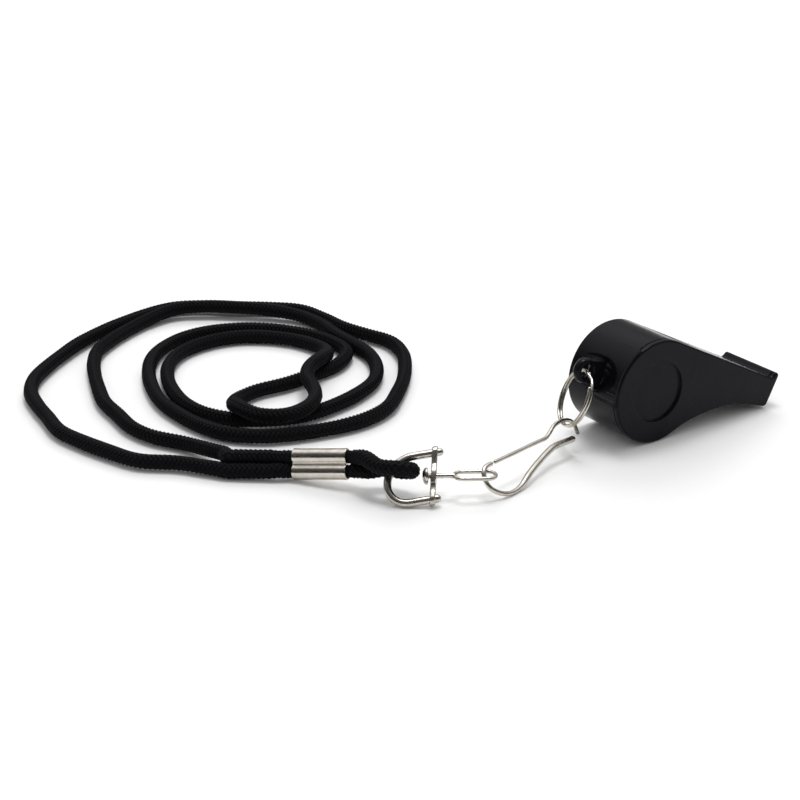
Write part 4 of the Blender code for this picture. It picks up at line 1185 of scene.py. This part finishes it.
def build_cord():
    line = centre_line()
    marks = lengths_along(line)
    surface, weave = braid(line, marks)
    total = marks[-1]

    def mark_of(point, keep):
        return marks[keep][np.argmin(np.linalg.norm(line[keep] - point, axis=1))]

    def cord_piece(name, low, high, mat):
        """The braid between two distances along the cord, closed at both ends."""
        first, last = (int(np.searchsorted(marks, mark)) for mark in (low, high))
        verts = surface[first:last + 1].reshape(-1, 3)
        obj = mesh_of(name, verts, ring_faces(last - first + 1, BRAID_SIDES))
        add_vectors(obj.data, "weave", weave[first:last + 1])
        dress(obj, mat, angle=180, weighted=False)
        return obj

    swing_low, swing_high = run_lanes(SWING_AT)
    lift_low, lift_high = run_lanes(LIFT_AT)
    first_half = marks <= total / 2
    second_half = marks >= total / 2
    lift_a = mark_of(lift_low, first_half)
    swing_a = mark_of(swing_low, first_half)
    swing_b = mark_of(swing_high, second_half)
    lift_b = mark_of(lift_high, second_half)
    turn_a = (lift_a + swing_a) / 2
    turn_b = (lift_b + swing_b) / 2
    yarn_a = cord_yarn("yarn_a", seed=0)
    yarn_b = cord_yarn("yarn_b", seed=90)

    piece = cord_piece("cord_tail_start", 0.0, lift_a - CUT_REACH, yarn_a)
    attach(piece, "tail")
    piece = cord_piece("cord_lift_low", lift_a - CUT_REACH, turn_a, yarn_a)
    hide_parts("cord_run_a")
    blend_at(piece)
    piece = cord_piece("cord_swing_low", turn_a, swing_a + CUT_REACH, yarn_a)
    blend_at(piece)
    cuts = np.linspace(swing_a + CUT_REACH, swing_b - CUT_REACH, COILS + 1)
    for i in range(COILS):
        piece = cord_piece(f"cord_coil_{i + 1}", cuts[i], cuts[i + 1], yarn_a)
        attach(piece, "coil")
        if i == 0:
            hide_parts("cord_coil")
    piece = cord_piece("cord_swing_high", swing_b - CUT_REACH, turn_b, yarn_b)
    blend_at(piece)
    piece = cord_piece("cord_lift_high", turn_b, lift_b + CUT_REACH, yarn_b)
    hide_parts("cord_run_b")
    blend_at(piece)
    piece = cord_piece("cord_tail_loop", lift_b + CUT_REACH, total, yarn_b)
    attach(piece, "tail")
    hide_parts("cord_tail")


# ================================================================ floor, light and camera, in metres
FLOOR_Z = -6e-5
FLOOR_CORNERS = [(-3, -1.5), (3, -1.5), (3, 4), (-3, 4)]
# Brightness that shiny faces see: overhead, towards the viewer and behind the product
SEEN_CEILING = 1.1
SEEN_FRONT = 0.03
SEEN_BACK = 0.30
# Brightness of the fill light from the viewer's side and from behind the product
FILL_FRONT = 0.42
FILL_BACK = 0.85


def build_floor():
    ground = bpy.data.meshes.new("floor")
    ground.from_pydata([(x, y, FLOOR_Z) for x, y in FLOOR_CORNERS], [], [(0, 1, 2, 3)])
    floor = add_object("floor", ground)
    ground.materials.append(floor_paper("floor_paper"))


def build_world(scene):
    """Shiny faces see a dark viewer's side, a dim wall and a bright ceiling; the rest get fill."""
    world = bpy.data.worlds.new("studio")
    scene.world = world
    world.use_nodes = True
    world.node_tree.nodes.clear()
    nodes = NodeTree(world.node_tree)
    split = nodes.add("ShaderNodeSeparateXYZ")
    nodes.put(split, 0, nodes.coord.outputs["Generated"])
    y, z = (split.outputs[axis] for axis in "YZ")
    glossy = nodes.add("ShaderNodeLightPath").outputs["Is Glossy Ray"]
    ease = "SMOOTHSTEP"
    ceiling = nodes.span(z, over=(0.3, 0.85), to=(0.0, SEEN_CEILING), ease=ease)
    wall = nodes.span(y, over=(-0.3, 0.9), to=(SEEN_FRONT, SEEN_BACK), ease=ease)
    viewer_shade = nodes.span(y, over=(-0.35, 0.35), to=(0.08, 1.0), ease=ease)
    seen = nodes.plus(nodes.times(ceiling, by=viewer_shade), wall)
    fill = nodes.span(y, over=(-1.0, 1.0), to=(FILL_FRONT, FILL_BACK), ease=ease)
    strength = nodes.plus(nodes.times(seen, by=glossy),
                          nodes.times(fill, by=nodes.minus(1.0, glossy)))
    background = nodes.add("ShaderNodeBackground")
    nodes.put(background, "Color", (1.0, 1.0, 1.0, 1.0))
    nodes.put(background, "Strength", strength)
    nodes.put(nodes.add("ShaderNodeOutputWorld"), 0, background.outputs[0])


def softbox(name, at, aim, size, power):
    light = bpy.data.lights.new(name, "AREA")
    light.shape = "SQUARE"
    light.size = size
    light.energy = power
    obj = bpy.data.objects.new(name, light)
    obj.location = at
    obj.rotation_euler = (Vector(aim) - Vector(at)).to_track_quat("-Z", "Y").to_euler()
    bpy.context.scene.collection.objects.link(obj)
    return obj


def build_camera(scene):
    camera = bpy.data.cameras.new("camera")
    camera.lens = 89.64
    camera.sensor_width = 36.0
    camera.clip_start = 0.01
    camera.clip_end = 20.0
    view = add_object("camera", camera)
    view.location = (0.000389, -0.459088, 0.192594)
    view.rotation_euler = (math.radians(67.2), 0.0, 0.0)
    scene.camera = view


build_shell()
build_cover()
build_pea()
build_hook()
build_gate()
build_split_ring()
build_bow()
build_bar()
build_swivel()
build_ferrule()
build_cord()
build_floor()

scene = bpy.context.scene
scene.view_settings.view_transform = "Standard"
scene.view_settings.look = "None"
build_world(scene)
softbox("key", at=(0.05, 0.25, 1.45), aim=(0.02, 0, 0), size=0.55, power=9.0)
far_box = softbox("far", at=(0.0, 2.6, 1.9), aim=(0, 1.6, 0), size=1.8, power=34.0)
far_box.visible_glossy = False
build_camera(scene)
